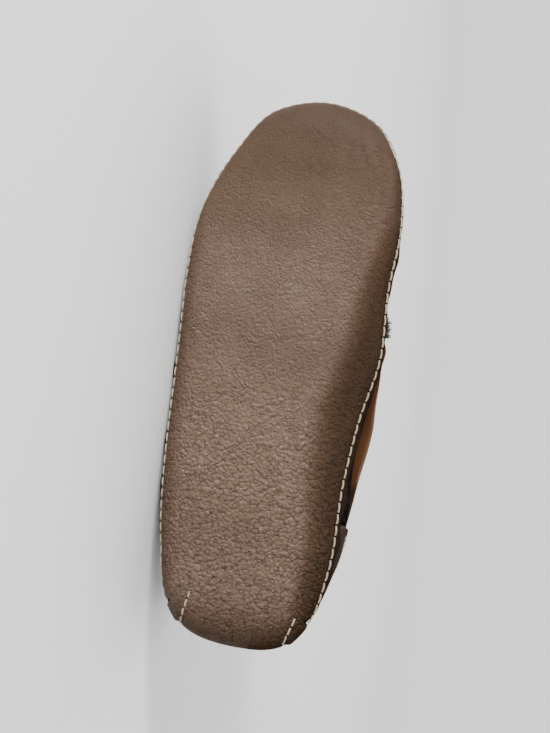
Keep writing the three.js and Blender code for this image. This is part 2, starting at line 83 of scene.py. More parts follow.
# One row for each section round the sole, from the heel over the inner side to the toe and back.
# along, across: place on the seam line, in shares of LENGTH and BALL_WIDTH. stitch, rim: heights of the
# seam and of the lip. flare: how far the lip leans out. roll: width of the rounded edge under the foot.
# turn: where the wall meets the collar, in degrees from its back. rise, bulge, reach, drop, belly: handles
# of the wall's curve. apron: share of the way up the wall where the toe seam crosses it.
SECTION_COLUMNS = (
    "along", "across", "stitch", "rim", "flare", "roll",
    "turn", "rise", "bulge", "reach", "drop", "belly", "apron",
)
SECTIONS = {
    "heelBack": (0.011, -0.01, 11, 30, -1.5, 17, 0, 22, -3.5, 0.55, 16, -2.8, 0.94),
    "dartMedial": (0.03, 0.24, 10, 28, -1.2, 15, 20, 22, -3, 0.55, 16, -2.4, 0.94),
    "notchMedial": (0.079, 0.338, 7, 11.5, 0, 11, 33, 20, 1.5, 0.6, 16, 1.2, 0.94),
    "heelMedial": (0.158, 0.388, 5, 12.5, 1.8, 9, 51, 18, 3.1, 0.8, 15, 6.3, 0.94),
    "waistMedial": (0.323, 0.401, 5, 13, 2.4, 9, 90, 16, 2.9, 0.92, 14, 19.4, 0.94),
    "archMedial": (0.428, 0.43, 5, 13, 2.2, 9, 113, 16, 2.6, 0.92, 13, 24.4, 0.94),
    "instepMedial": (0.535, 0.486, 5, 13, 1.6, 9, 132, 18, 2.6, 0.85, 10, 13.5, 0.9),
    "jointMedial": (0.66, 0.478, 5, 13, 1.2, 9, 144, 21, 2.4, 0.66, 8, 3.2, 0.68),
    "ballMedial": (0.772, 0.495, 5.5, 13, 1, 10, 155, 24, 2, 0.6, 6, 2, 0.53),
    "bigToe": (0.877, 0.449, 8, 14.5, 0.4, 13, 164, 27, 1.2, 0.57, 9, 1, 0.46),
    "toeMedial": (0.96, 0.322, 11, 17, 0, 19, 172, 28, 0.6, 0.56, 12, 0.5, 0.43),
    "toeTip": (1.0, 0.06, 12, 18, 0, 22, 180, 28, 0.6, 0.55, 13, 0.5, 0.42),
    "toeLateral": (0.968, -0.235, 11, 17, 0, 20, 188, 28, 0.6, 0.56, 12, 0.5, 0.43),
    "littleToe": (0.884, -0.38, 9, 15, 0.6, 15, 197, 27, 1.4, 0.57, 9, 3, 0.46),
    "ballLateral": (0.758, -0.497, 6, 13, 2, 10, 207, 22, 3.2, 0.62, 6, 11.5, 0.53),
    "jointLateral": (0.656, -0.512, 5, 13, 2.2, 9, 217, 20, 3, 0.72, 6, 13.8, 0.68),
    "instepLateral": (0.55, -0.5, 5, 13, 2.4, 9, 229, 17, 2.6, 0.84, 6.5, 10, 0.9),
    "midLateral": (0.44, -0.491, 5, 13, 2.6, 9, 248, 16, 2.6, 0.92, 7, 7.8, 0.94),
    "waistLateral": (0.33, -0.473, 5, 13, 2.8, 9, 270, 16, 2.6, 0.94, 7, 9.6, 0.94),
    "heelLateral": (0.17, -0.421, 5.5, 12.5, 2, 9, 308, 18, 2, 0.82, 13, 3.5, 0.94),
    "notchLateral": (0.073, -0.352, 7, 11.5, 0, 11, 328, 20, 1, 0.6, 16, 1.2, 0.94),
    "dartLateral": (0.036, -0.275, 10, 28, -1.2, 15, 340, 22, -3, 0.55, 16, -2.4, 0.94),
}
section_table = np.array(list(SECTIONS.values()))
SECTION_COUNT = len(section_table)
PLACE = {name: i for i, name in enumerate(SECTIONS)}
seam_corners = section_table[:, :2] * [LENGTH, BALL_WIDTH]
section_widths = np.linalg.norm(np.roll(seam_corners, -1, 0) - seam_corners, axis=1)


def column(name, s, held_flat=True):
    """One column of the table at places s, counted in sections round the loop, as a smooth curve."""
    value = section_table[:, SECTION_COLUMNS.index(name)]
    after = np.roll(value, -1)
    if name == "turn":
        after = after + 360 * (np.arange(SECTION_COUNT) == SECTION_COUNT - 1)
    slope = (after - value) / section_widths
    before = np.roll(slope, 1)
    width_before = np.roll(section_widths, 1)
    if held_flat:
        product = slope * before
        total = np.where(product > 0, slope + before, 1)
        tangent = np.where(product > 0, 2 * product / total, 0)
    else:
        tangent = before * section_widths + slope * width_before
        tangent = tangent / (section_widths + width_before)
    whole = np.floor(s).astype(int)
    u = s - whole
    i = whole % SECTION_COUNT
    j = (i + 1) % SECTION_COUNT
    made = (2 * u**3 - 3 * u**2 + 1) * value[i] + (3 * u**2 - 2 * u**3) * after[i]
    made = made + (u**3 - 2 * u**2 + u) * section_widths[i] * tangent[i]
    made = made + (u**3 - u**2) * section_widths[i] * tangent[j]
    return made + 360 * (whole // SECTION_COUNT) if name == "turn" else made


def smooth(value):
    """Soft step from 0 to 1."""
    value = np.clip(value, 0, 1)
    return value * value * (3 - 2 * value)


def ground(x):
    """Height of the sole's underside at a place along the shoe: flat, with an arch and a toe spring."""
    share = x / LENGTH
    up = smooth((share - ARCH["start"]) / (ARCH["top"] - ARCH["start"]))
    down = smooth((ARCH["end"] - share) / (ARCH["end"] - ARCH["top"]))
    toe = np.clip((share - TOE_SPRING["start"]) / (1 - TOE_SPRING["start"]), 0, 1)
    return ARCH["lift"] * np.minimum(up, down) + TOE_SPRING["lift"] * toe**2


def seam(s):
    """Points of the seam line seen from above, and its outward directions."""
    def at(k):
        return np.stack([column("along", k, False) * LENGTH, column("across", k, False) * BALL_WIDTH], -1)
    step = 0.01
    run = at(s + step) - at(s - step)
    run = run / np.linalg.norm(run, axis=-1, keepdims=True)
    return at(s), np.stack([-run[..., 1], run[..., 0]], -1)


def beside(s, out, up):
    """Points out from the seam line and up from the ground line there."""
    place, outward = seam(s)
    flat = place + outward * np.asarray(out)[..., None]
    return np.concatenate([flat, (ground(flat[..., 0]) + up)[..., None]], -1)


def sole_out(s, up):
    """How far the sole's outer face stands out from the seam line at a height above the ground line."""
    stitch = column("stitch", s)
    left = np.clip(1 - up / stitch, 0, 1)
    below = -column("roll", s) * (1 - np.sqrt(1 - left**2))
    above = column("flare", s) * (up - stitch) / (column("rim", s) - stitch)
    return np.where(up < stitch, below, above)


def dish_corner(s):
    """Height of the corner inside the sole's dish, where the lip starts."""
    return SOLE_THICKNESS + np.maximum(DISH["least_depth"], column("stitch", s) - DISH["below_seam"])


def pleat_raise(s):
    """Extra thickness of the folded leather between the heel's dart and the notch at its corner."""
    from_back = np.minimum(s, SECTION_COUNT - s)
    rise = smooth((from_back - PLACE["dartMedial"]) / PLEAT["edge"])
    fall = smooth((PLACE["notchMedial"] - from_back) / PLEAT["edge"])
    return PLEAT["raise"] * np.minimum(rise, fall)


def seam_run(s):
    """Distance along the seam line from the heel's back to places s."""
    fine = np.linspace(0, SECTION_COUNT, SEAM_SAMPLES)
    step = np.linalg.norm(np.diff(seam(fine)[0], axis=0), axis=1)
    return np.interp(s, fine, np.concatenate([[0], np.cumsum(step)]))


def loop_places(count):
    """Places round the seam, evenly spaced on each half between the heel's back and the toe's tip."""
    halves = []
    for start, end in ((0, PLACE["toeTip"]), (PLACE["toeTip"], SECTION_COUNT)):
        fine = np.linspace(start, end, HALF_SAMPLES)
        run = seam_run(fine)
        halves.append(np.interp(np.linspace(run[0], run[-1], count // 2, endpoint=False), run, fine))
    return np.concatenate(halves)


# The shoe as it lies, from the two flats under heel and ball
MM = 0.001
HEEL_FLAT = np.array([50.0, -2.0, 0.0])
mounts = {mount["name"]: mount for mount in frame["record"]["mounts"]}
heel_spot = np.array(mounts["heel_flat"]["pos_m"])
toe_way = np.array(mounts["ball_flat"]["pos_m"]) - heel_spot
toe_way = toe_way / np.linalg.norm(toe_way)
up_way = -np.array(mounts["heel_flat"]["axis"])
inner_way = np.cross(up_way, toe_way)
shoe_axes = np.stack([toe_way, inner_way, up_way])


def turn_over(directions):
    """Directions on the standing shoe as they point on the lying one."""
    return np.asarray(directions) @ shoe_axes


def lay_down(points):
    """Places on the standing shoe in millimetres as places on the lying one in metres."""
    return heel_spot + MM * turn_over(np.asarray(points) - HEEL_FLAT)


def waves(points, length, seed, count=24):
    """Smooth random swell over points, about 1 high, with crests about one length apart."""
    draw = np.random.default_rng(seed)
    way = draw.normal(size=(count, 3))
    way = way / np.linalg.norm(way, axis=1, keepdims=True) * draw.uniform(0.7, 1.4, (count, 1))
    phase = draw.uniform(0, 2 * np.pi, count)
    return np.sin(points @ way.T * (2 * np.pi / length) + phase).sum(1) * np.sqrt(2 / count)


def bell(distance, width):
    """Round bump of height 1 that dies away over a width."""
    return np.exp(-((distance / width) ** 2))


ROW_BEND = 20.0


class Skin:
    """Points and faces of one piece, grown ring by ring on the standing shoe."""

    def __init__(self):
        self.points = []
        self.faces = []
        self.count = 0

    def ring(self, points):
        index = self.count + np.arange(len(points))
        self.points.append(points)
        self.count += len(points)
        return index

    def band(self, first, second, closed=True):
        """Quads between two rings or rows."""
        quads = np.stack([second, np.roll(second, -1), np.roll(first, -1), first], 1)
        self.faces += (quads if closed else quads[:-1]).tolist()

    def tube(self, rings, closed=False):
        """Quads between neighbouring rings, and from the last to the first where the tube is closed."""
        for first, second in zip(rings, rings[1:] + rings[:closed]):
            self.band(first, second)

    def fill(self, ring, rows, facing_up, height=None):
        """Closes a ring with rows between facing places, bent to fan out at heel and toe."""
        points = np.concatenate(self.points)[ring]
        half = len(ring) // 2
        near, far = points[1:half, None], points[:half:-1, None]
        middle = (near + far) / 2
        ends = points[[0, half], 0] + [ROW_BEND, -ROW_BEND]
        middle[:, 0, 0] = np.linspace(*ends, half + 1)[1:-1]
        share = np.linspace(0, 2, rows + 1)[1:-1, None]
        inside = near + (middle - near) * np.minimum(share, 1)
        inside = inside + (far - middle) * np.maximum(share - 1, 0)
        if height is not None:
            inside[..., 2] = height(inside[..., 0])
        made = self.ring(inside.reshape(-1, 3)).reshape(half - 1, rows - 1)
        grid = np.column_stack([ring[1:half], made, ring[:half:-1]])
        quads = np.stack([grid[:-1, :-1], grid[1:, :-1], grid[1:, 1:], grid[:-1, 1:]], -1)
        heel = [(ring[0], a, b) for a, b in zip(grid[0, :-1], grid[0, 1:])]
        toe = [(a, ring[half], b) for a, b in zip(grid[-1, :-1], grid[-1, 1:])]
        faces = quads.reshape(-1, 4).tolist() + [tuple(int(v) for v in face) for face in heel + toe]
        self.faces += [face[::-1] for face in faces] if facing_up else faces
        return np.linalg.norm(inside - near, axis=-1), np.linalg.norm(inside - far, axis=-1)

    def piece(self, name):
        """The piece as an object, lying where the shoe lies."""
        mesh = bpy.data.meshes.new(name)
        mesh.from_pydata(lay_down(np.concatenate(self.points)).tolist(), [], self.faces)
        mesh.polygons.foreach_set("use_smooth", np.ones(len(mesh.polygons), bool))
        made = bpy.data.objects.new(name, mesh)
        bpy.context.scene.collection.objects.link(made)
        return made


def raise_surface(piece, heights):
    """Moves each point of a piece along its normal by a height in millimetres."""
    mesh = piece.data
    place = np.empty(len(mesh.vertices) * 3, np.float32)
    normal = np.empty_like(place)
    mesh.vertices.foreach_get("co", place)
    mesh.vertex_normals.foreach_get("vector", normal)
    mesh.vertices.foreach_set("co", place + normal * np.repeat(heights * MM, 3).astype(np.float32))
    mesh.update()


def mark(piece, name, values):
    """Keeps one number for each point of a piece, for its material."""
    attribute = piece.data.attributes.new(name, "FLOAT", "POINT")
    attribute.data.foreach_set("value", np.asarray(values, np.float32))


# Rings of the sole from under the foot, round its edge, up and over the lip and down into the dish
NOTCH = {"back": 0.05, "cut": 4.0, "half_width": 1.1, "depth": 1.2, "reach_under": 6.0, "fade": 4.0}
sole_places = loop_places(SOLE_COLUMNS)
sole_run = seam_run(sole_places)
notch_runs = [
    seam_run(np.array([PLACE["notchMedial"] - NOTCH["back"]]))[0],
    seam_run(np.array([PLACE["notchLateral"] + NOTCH["back"]]))[0],
]
at_notch = sum(bell(sole_run - run, NOTCH["half_width"]) for run in notch_runs)
stitch_height, lip_flare, roll_width = (column(name, sole_places) for name in ("stitch", "flare", "roll"))
lip_height = column("rim", sole_places) - NOTCH["cut"] * at_notch
fold = pleat_raise(sole_places)
sole_profile = []
for angle in np.radians(np.linspace(0, 90, EDGE_RINGS)):
    sole_profile.append((roll_width * (np.sin(angle) - 1) + fold * np.sin(angle),
                         stitch_height * (1 - np.cos(angle))))
for share in np.linspace(0, 1, LIP_RINGS + 1)[1:]:
    sole_profile.append((lip_flare * share + fold,
                         stitch_height + (lip_height - LIP_ROUND - stitch_height) * share))
for angle in np.radians([30, 60, 90, 120, 150, 180]):
    sole_profile.append((lip_flare - LIP / 2 + (LIP / 2 + fold * (angle < np.pi / 2)) * np.cos(angle),
                         lip_height - LIP_ROUND + LIP_ROUND * np.sin(angle)))
outer_rings = len(sole_profile) - INNER_LIP_RINGS
corner = dish_corner(sole_places)
corner_out = sole_out(sole_places, corner) - LIP
for angle in np.radians([90, 60, 30, 0]):
    sole_profile.append((corner_out - (roll_width + corner_out) * (1 - np.sin(angle)),
                         SOLE_THICKNESS + (corner - SOLE_THICKNESS) * (1 - np.cos(angle))))
sole_skin = Skin()
sole_grid = np.stack([beside(sole_places, out, up) for out, up in sole_profile])
sole_rings = [sole_skin.ring(points) for points in sole_grid]
sole_skin.tube(sole_rings)
gap_inner, gap_outer = sole_skin.fill(sole_rings[0], SOLE_ROWS, False, ground)
dish_count = sole_skin.fill(sole_rings[-1], HIDDEN_ROWS, True)[0].size
sole = sole_skin.piece("sole_leather")

# Distance of every point of the sole from the seam, below it negative
INSIDE_CLIMB = 60.0
ring_steps = np.linalg.norm(np.diff(sole_grid, axis=0), axis=2)
ring_climb = np.concatenate([np.zeros((1, SOLE_COLUMNS)), np.cumsum(ring_steps, axis=0)])
ring_climb = ring_climb - ring_climb[EDGE_RINGS - 1]
half = SOLE_COLUMNS // 2
inner_start, outer_start = ring_climb[0, 1:half, None], ring_climb[0, :half:-1, None]
under_climb = np.maximum(inner_start - gap_inner, outer_start - gap_outer).ravel()
climb = np.concatenate([ring_climb.ravel(), under_climb, np.full(dish_count, INSIDE_CLIMB)])
outside = np.concatenate([np.repeat(np.arange(len(sole_profile)) < outer_rings, SOLE_COLUMNS),
                          np.ones(len(under_climb), bool), np.zeros(dish_count, bool)])
OFF_SEAM = -99.0
run = np.concatenate([np.tile(sole_run, len(sole_profile)),
                      np.full(len(under_climb) + dish_count, OFF_SEAM)])
sole_points = np.concatenate(sole_skin.points)

# Darts of the heel: from a spot under the heel to the seam, then up to the edge of the wrap
DART_STARTS = {"dartMedial": (21.6, 27.8), "dartLateral": (26.5, -24.4)}
DART = {"groove": 0.7, "groove_width": 0.8, "ear": 0.35, "ear_place": 2.2, "ear_width": 2.0, "ear_fade": 2.0,
        "seam_inset": 1.2, "wrap_from": 0.8, "under_steps": 30, "wrap_steps": 24, "easing": 6, "points": 90,
        "fade_in": 16}
CORNER_WAY = (0.6, 0.8)
HEEL_END = 45.0
BELOW_SOLE = -30.0
under_sole = BVHTree.FromObject(sole, bpy.context.evaluated_depsgraph_get())


def dart_line(name):
    """Points of a dart's stitched line on the sole, evenly spaced."""
    place = np.array([float(PLACE[name])])
    end, outward = seam(place)
    edge = end[0] - DART["seam_inset"] * outward[0]
    start = np.array(DART_STARTS[name])
    line = []
    for share in np.linspace(0, 1, DART["under_steps"]):
        spot = start + (edge - start) * share
        below = lay_down([spot[0], spot[1], BELOW_SOLE])
        hit = under_sole.ray_cast(Vector(below), Vector(up_way))[0]
        line.append((np.array(hit) - heel_spot) / MM @ shoe_axes.T + HEEL_FLAT)
    top = column("rim", place)[0] - LIP_ROUND
    for up in np.linspace(column("stitch", place)[0] * DART["wrap_from"], top, DART["wrap_steps"]):
        line.append(beside(place, sole_out(place, np.array([up])), np.array([up]))[0])
    line = np.array(line)
    for _ in range(DART["easing"]):
        line[1:-1] = (line[:-2] + 2 * line[1:-1] + line[2:]) / 4
    reach = np.concatenate([[0], np.cumsum(np.linalg.norm(np.diff(line, axis=0), axis=1))])
    even = np.linspace(0, reach[-1], DART["points"])
    return np.stack([np.interp(even, reach, line[:, k]) for k in range(3)], 1)


dart_lines = {name: dart_line(name) for name in DART_STARTS}
heel_points = np.flatnonzero((sole_points[:, 0] < HEEL_END) & outside)
dart_relief = np.zeros(len(sole_points))
for name, line in dart_lines.items():
    towards_corner = np.array([CORNER_WAY[0], np.sign(line[0, 1]) * CORNER_WAY[1], 0])
    gaps = sole_points[heel_points, None] - line[None]
    distance = np.linalg.norm(gaps, axis=2)
    nearest = distance.argmin(1)
    span = distance[np.arange(len(heel_points)), nearest]
    side = gaps[np.arange(len(heel_points)), nearest] @ towards_corner
    shown = smooth(np.linspace(0, 1, len(line)) * DART["fade_in"])[nearest]
    ear = DART["ear"] * bell(span - DART["ear_place"], DART["ear_width"])
    ear = ear * smooth(side / DART["ear_fade"])
    dart_relief[heel_points] += shown * (ear - DART["groove"] * bell(span, DART["groove_width"]))

# Painted shade where the sole curves away: a band along its inner side, widest under the arch, the round
# of heel and toe, and a little all round the edge
INNER_BAND = {
    "along": (0.08, 0.17, 0.26, 0.38, 0.45, 0.57, 0.655, 0.73, 0.80, 0.90, 1.0),
    "width": (22, 25, 30, 32, 32, 28, 27, 23, 20, 14, 9),
    "fade": (18, 20, 27, 25, 21, 19, 24, 22, 19, 13, 9),
    "side": 12.0,
    "dark": 0.85,
    "hollow": 2.2,
}
HEEL_ROUND = {"from_back": (4, 20, 30, 42), "dark": (0.48, 0.35, 0.18, 0)}
TOE_ROUND = {"along": (0.45, 0.70, 0.85, 0.93, 1.0), "dark": (0, 0.23, 0.47, 0.66, 0.80)}
EDGE_ROUND = {"from": -17.0, "over": 16.0, "dark": 0.4}
LIP_TONE_AND_SHADE = {"from": -3.0, "over": 5.0, "dark": 0.78}
WRAP = {"end": 34.0, "fade": 10.0, "paler": 0.75, "from": 2.0, "over": 8.0}
share_along = sole_points[:, 0] / LENGTH
band_width, band_fade = (np.interp(share_along, INNER_BAND["along"], INNER_BAND[size])
                         for size in ("width", "fade"))
inner_band = smooth((climb + band_width) / band_fade) * smooth(sole_points[:, 1] / INNER_BAND["side"])
inner_dark = INNER_BAND["dark"] * inner_band
heel_round = np.interp(sole_points[:, 0], HEEL_ROUND["from_back"], HEEL_ROUND["dark"])
toe_round = np.interp(share_along, TOE_ROUND["along"], TOE_ROUND["dark"])
edge_round = EDGE_ROUND["dark"] * smooth((climb - EDGE_ROUND["from"]) / EDGE_ROUND["over"])
on_wrap = WRAP["paler"] * smooth((WRAP["end"] - sole_points[:, 0]) / WRAP["fade"])
# Painted shade of the sole's curving rounds, with less of it on the heel's wrap
sole_shade = np.max([inner_dark, heel_round, toe_round, edge_round], axis=0)
sole_shade = sole_shade * (1 - on_wrap * smooth((climb - WRAP["from"]) / WRAP["over"]))
# The lip darker: partly the edge leather's own darker tone, partly painted shade
lip_tone_and_shade = LIP_TONE_AND_SHADE["dark"] * smooth((climb - LIP_TONE_AND_SHADE["from"]) / LIP_TONE_AND_SHADE["over"])
lip_tone_and_shade = lip_tone_and_shade * (1 - on_wrap)

# Relief of the leather: the sewn seam's groove and puckers, a wavy lip, soft dents, darts and notches
STITCH_PITCH = 5.6
SEAM_GROOVE = {"depth": 0.5, "width": 0.9}
PUCKER = {"height": 0.09, "width": 4.0}
TOE_CLIMB = {"start": 0.72, "end": 0.84, "climb": 0.3, "tuck": 0.7, "tuck_width": 4.0}


def stitch_climb(along):
    """How far above the edge the stitches run: on it along the sides, over it round the toe."""
    share = (along - TOE_CLIMB["start"]) / (TOE_CLIMB["end"] - TOE_CLIMB["start"])
    return TOE_CLIMB["climb"] * smooth(share)


FROM_NOTCH = 2.0
SEWN_FADE = 3.0
sewn_from, sewn_to = notch_runs[0] + FROM_NOTCH, notch_runs[1] - FROM_NOTCH
sewn = smooth((run - sewn_from) / SEWN_FADE) * smooth((sewn_to - run) / SEWN_FADE)
groove = -SEAM_GROOVE["depth"] * bell(climb - stitch_climb(share_along), SEAM_GROOVE["width"]) * sewn
sewn_pitch = (sewn_to - sewn_from) / round((sewn_to - sewn_from) / STITCH_PITCH)
pucker = PUCKER["height"] * np.cos(2 * np.pi * (run - sewn_from) / sewn_pitch)
round_toe = stitch_climb(share_along) / TOE_CLIMB["climb"]
pucker = pucker * bell(climb, PUCKER["width"]) * sewn * (1 - round_toe)
LIP_WAVE = {"height": 0.3, "length": 17, "from_seam": 6.0, "calmer_at_toe": 0.85}
DENTS = ((0.34, 60, 1), (0.12, 24, 2))
DENTS_FADE = 20.0
HOLLOW_FADE = {"from": 5.0, "over": 8.0}
on_lip = smooth(climb / LIP_WAVE["from_seam"])
tuck = -TOE_CLIMB["tuck"] * round_toe * bell(climb, TOE_CLIMB["tuck_width"])
lip_wave = LIP_WAVE["height"] * waves(sole_points, LIP_WAVE["length"], 3) * on_lip
lip_wave = lip_wave * (1 - LIP_WAVE["calmer_at_toe"] * round_toe)
dents = sum(height * waves(sole_points, length, seed) for height, length, seed in DENTS)
dents = dents * smooth(-climb / DENTS_FADE)
notch_gap = sum(bell(run - place, NOTCH["half_width"]) for place in notch_runs)
notch_gap = notch_gap * smooth((climb + NOTCH["reach_under"]) / NOTCH["fade"])
hollow = -INNER_BAND["hollow"] * inner_band * smooth((-climb - HOLLOW_FADE["from"]) / HOLLOW_FADE["over"])
relief = groove + pucker + tuck + lip_wave + (dents + hollow) * (1 - on_lip) + dart_relief
relief = relief - NOTCH["depth"] * notch_gap
raise_surface(sole, np.where(outside, relief, 0))
mark(sole, "along", share_along)
# Painted shade of the sole's rounds, for its colour and gloss
mark(sole, "sole_shade", sole_shade)
mark(sole, "climb", climb)
mark(sole, "lip_tone_and_shade", lip_tone_and_shade)
mark(sole, "dull", np.maximum(inner_dark * (1 - round_toe), lip_tone_and_shade))
# Painted shade: near black in the notch's cut, and over the lip's inner face and the dish, which lie in
# shade
mark(sole, "notch", np.where(outside, notch_gap, 1))


def add(tree, kind, inputs, **settings):
    """A node with its settings, whose inputs are linked where a socket is given and set otherwise."""
    node = tree.nodes.new(kind)
    for name, value in settings.items():
        setattr(node, name, value)
    for name, value in inputs.items():
        if isinstance(value, bpy.types.NodeSocket):
            tree.links.new(value, node.inputs[name])
        else:
            node.inputs[name].default_value = value
    return node


def attribute(tree, name):
    return add(tree, "ShaderNodeAttribute", {}, attribute_name=name).outputs["Fac"]


def noise(tree, where, scale, detail=2.0, roughness=0.5):
    made = add(tree, "ShaderNodeTexNoise",
               {"Vector": where, "Scale": scale, "Detail": detail, "Roughness": roughness})
    return made.outputs["Fac"]


def calc(tree, operation, first, second=0.0):
    return add(tree, "ShaderNodeMath", {0: first, 1: second}, operation=operation).outputs[0]


def times(tree, first, second):
    return calc(tree, "MULTIPLY", first, second)


def plus(tree, first, second):
    return calc(tree, "ADD", first, second)


def ramp(tree, value, low, high, start=0.0, end=1.0):
    """Soft step of a value from start at low to end at high."""
    made = add(tree, "ShaderNodeMapRange",
               {"Value": value, "From Min": low, "From Max": high, "To Min": start, "To Max": end},
               interpolation_type="SMOOTHSTEP")
    return made.outputs["Result"]


def blended(tree, factor, first, second, blend="MIX"):
    """Mix of two colours, each a socket or three linear numbers."""
    sides = [side if isinstance(side, bpy.types.NodeSocket) else (*side, 1.0) for side in (first, second)]
    made = add(tree, "ShaderNodeMix", {0: factor, 6: sides[0], 7: sides[1]},
               data_type="RGBA", blend_type=blend)
    return made.outputs[2]


def warped(tree, where, scale, reach):
    """Coordinates pushed about by noise, so that cells lose their even look."""
    push = add(tree, "ShaderNodeTexNoise", {"Vector": where, "Scale": scale, "Detail": 1.0})
    centred = add(tree, "ShaderNodeVectorMath", {0: push.outputs["Color"], 1: (0.5, 0.5, 0.5)},
                  operation="SUBTRACT")
    scaled = add(tree, "ShaderNodeVectorMath", {0: centred.outputs[0], "Scale": reach}, operation="SCALE")
    return add(tree, "ShaderNodeVectorMath", {0: where, 1: scaled.outputs[0]}, operation="ADD").outputs[0]


def cells(tree, where, size, feature):
    """Distance in a pattern of cells of a size in metres, in shares of that size."""
    made = add(tree, "ShaderNodeTexVoronoi", {"Vector": where, "Scale": 1 / size}, feature=feature)
    return made.outputs["Distance"]


def finish(name, base, surface, bump):
    """A material from a surface's numbers and a bump height in metres."""
    material = bpy.data.materials.new(name)
    material.use_nodes = True
    tree = material.node_tree
    shader = tree.nodes["Principled BSDF"]
    where = add(tree, "ShaderNodeTexCoord", {}).outputs["Object"]
    made = {**surface, "Base Color": base(tree, where)}
    raised = add(tree, "ShaderNodeBump", {"Height": bump(tree, where), "Distance": 1.0})
    made["Normal"] = raised.outputs[0]
    for socket, value in made.items():
        value = value(tree, where) if callable(value) else value
        if isinstance(value, bpy.types.NodeSocket):
            tree.links.new(value, shader.inputs[socket])
        else:
            shader.inputs[socket].default_value = value
    return material


# Pebbled leather: domed pebbles with wormy grooves between them, coarse at the heel and fine at the toe
TAUPE = (0.076, 0.046, 0.029)
TAUPE_PALE = (0.086, 0.053, 0.034)
# TAUPE_DEEP: the grain's grooves, and the painted shade of the sole's rounds and lip
TAUPE_DEEP = (0.0193, 0.0120, 0.0076)
RUSSET = (0.080, 0.039, 0.0255)
# NOTCH_DARK: painted shade in the notch and inside the sole; also the counter's grain grooves
NOTCH_DARK = (0.012, 0.009, 0.007)
PEBBLE_COARSE = 0.0019
PEBBLE_FINE = 0.0014


def heel_to_toe(tree, coarse, fine):
    """A value that goes from that of the heel's coarse grain to that of the toe's fine one."""
    heelward = ramp(tree, attribute(tree, "along"), 0.25, 0.8, 1, 0)
    return plus(tree, times(tree, coarse, heelward),
                times(tree, fine, calc(tree, "SUBTRACT", 1.0, heelward)))


def pebble_grooves(tree, where):
    """Depth of the grooves between pebbles, from 0 on a pebble to 1."""
    pushed = warped(tree, where, 300, 0.0014)
    coarse = ramp(tree, cells(tree, pushed, PEBBLE_COARSE, "DISTANCE_TO_EDGE"), 0.0, 0.2, 1, 0)
    fine = ramp(tree, cells(tree, pushed, PEBBLE_FINE, "DISTANCE_TO_EDGE"), 0.0, 0.24, 1, 0)
    broken = ramp(tree, noise(tree, where, 420, 1), 0.44, 0.60, 0.0, 1)
    return times(tree, heel_to_toe(tree, coarse, fine), broken)


def pebble_domes(tree, where):
    """Height of the pebbles' rounded tops, from 0 to 1."""
    pushed = warped(tree, where, 300, 0.0014)
    coarse, fine = (cells(tree, pushed, size, "F1") for size in (PEBBLE_COARSE, PEBBLE_FINE))
    reach = heel_to_toe(tree, coarse, fine)
    return calc(tree, "SUBTRACT", 1.0, times(tree, times(tree, reach, reach), 1.6))


def sole_colour(tree, where):
    cloudy = noise(tree, where, 55, 3)
    made = blended(tree, ramp(tree, cloudy, 0.35, 0.65), TAUPE, TAUPE_PALE)
    edge = ramp(tree, attribute(tree, "climb"), -26, -4)
    russet = times(tree, ramp(tree, noise(tree, where, 30, 2), 0.48, 0.66), edge)
    made = blended(tree, times(tree, russet, 0.38), made, RUSSET)
    # Painted shade where the sole curves away
    made = blended(tree, attribute(tree, "sole_shade"), made, TAUPE_DEEP)
    made = blended(tree, times(tree, pebble_grooves(tree, where), 0.2), made, TAUPE_DEEP)
    # Lip: its own darker tone and painted shade
    made = blended(tree, attribute(tree, "lip_tone_and_shade"), made, TAUPE_DEEP)
    # Painted shade in the notch and on the sole's inner faces
    return blended(tree, attribute(tree, "notch"), made, NOTCH_DARK)


def sole_bump(tree, where):
    depth = ramp(tree, attribute(tree, "along"), 0.2, 0.95, 0.00050, 0.00010)
    relief = calc(tree, "SUBTRACT", pebble_domes(tree, where),
                  times(tree, pebble_grooves(tree, where), 0.7))
    flat = ramp(tree, attribute(tree, "along"), 0.6, 1.0, 0.00034, 0.00010)
    uneven = times(tree, noise(tree, where, 640, 3), flat)
    uneven = plus(tree, uneven, times(tree, noise(tree, where, 1250, 1), 0.00013))
    return plus(tree, uneven, times(tree, relief, depth))


def sole_roughness(tree, where):
    return ramp(tree, noise(tree, where, 420, 2), 0.3, 0.7, 0.46, 0.62)


def sole_gloss(tree, where):
    round_ends = ramp(tree, attribute(tree, "sole_shade"), 0.1, 0.5, 0.25, 0.045)
    return calc(tree, "MINIMUM", round_ends, ramp(tree, attribute(tree, "dull"), 0.1, 0.6, 0.25, 0.0))


pebbled_leather = finish("pebbled_leather", sole_colour,
                         {"Roughness": sole_roughness, "Specular IOR Level": sole_gloss}, sole_bump)
sole.data.materials.append(pebbled_leather)
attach(sole, "root")
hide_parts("sole")

# Sewing
# Waxed cream cord in a running stitch along the seam, through lip and upper, each stitch a little slanted
# and sunk at its ends. The same cord closes the two darts and follows the top edge of the heel wrap.
CORD_CREAM = (0.45, 0.365, 0.245)
CORD_SHADE = (0.20, 0.15, 0.10)
CORD_RADIUS = 0.00046
CORD_PLY = 0.0011


def cord_twist(tree, where):
    """Strands wound round the cord, from 0 in their grooves to 1."""
    turns = calc(tree, "DIVIDE", attribute(tree, "thread_along"), CORD_PLY)
    phase = plus(tree, turns, times(tree, attribute(tree, "thread_around"), 2.0))
    wave = calc(tree, "SINE", times(tree, phase, 2 * np.pi))
    return ramp(tree, wave, -1, 0.5)


def cord_colour(tree, where):
    made = blended(tree, cord_twist(tree, where), CORD_SHADE, CORD_CREAM)
    return blended(tree, ramp(tree, noise(tree, where, 120, 2), 0.4, 0.7, 0, 0.3), made, CORD_SHADE)


def cord_bump(tree, where):
    return times(tree, cord_twist(tree, where), 0.00012)


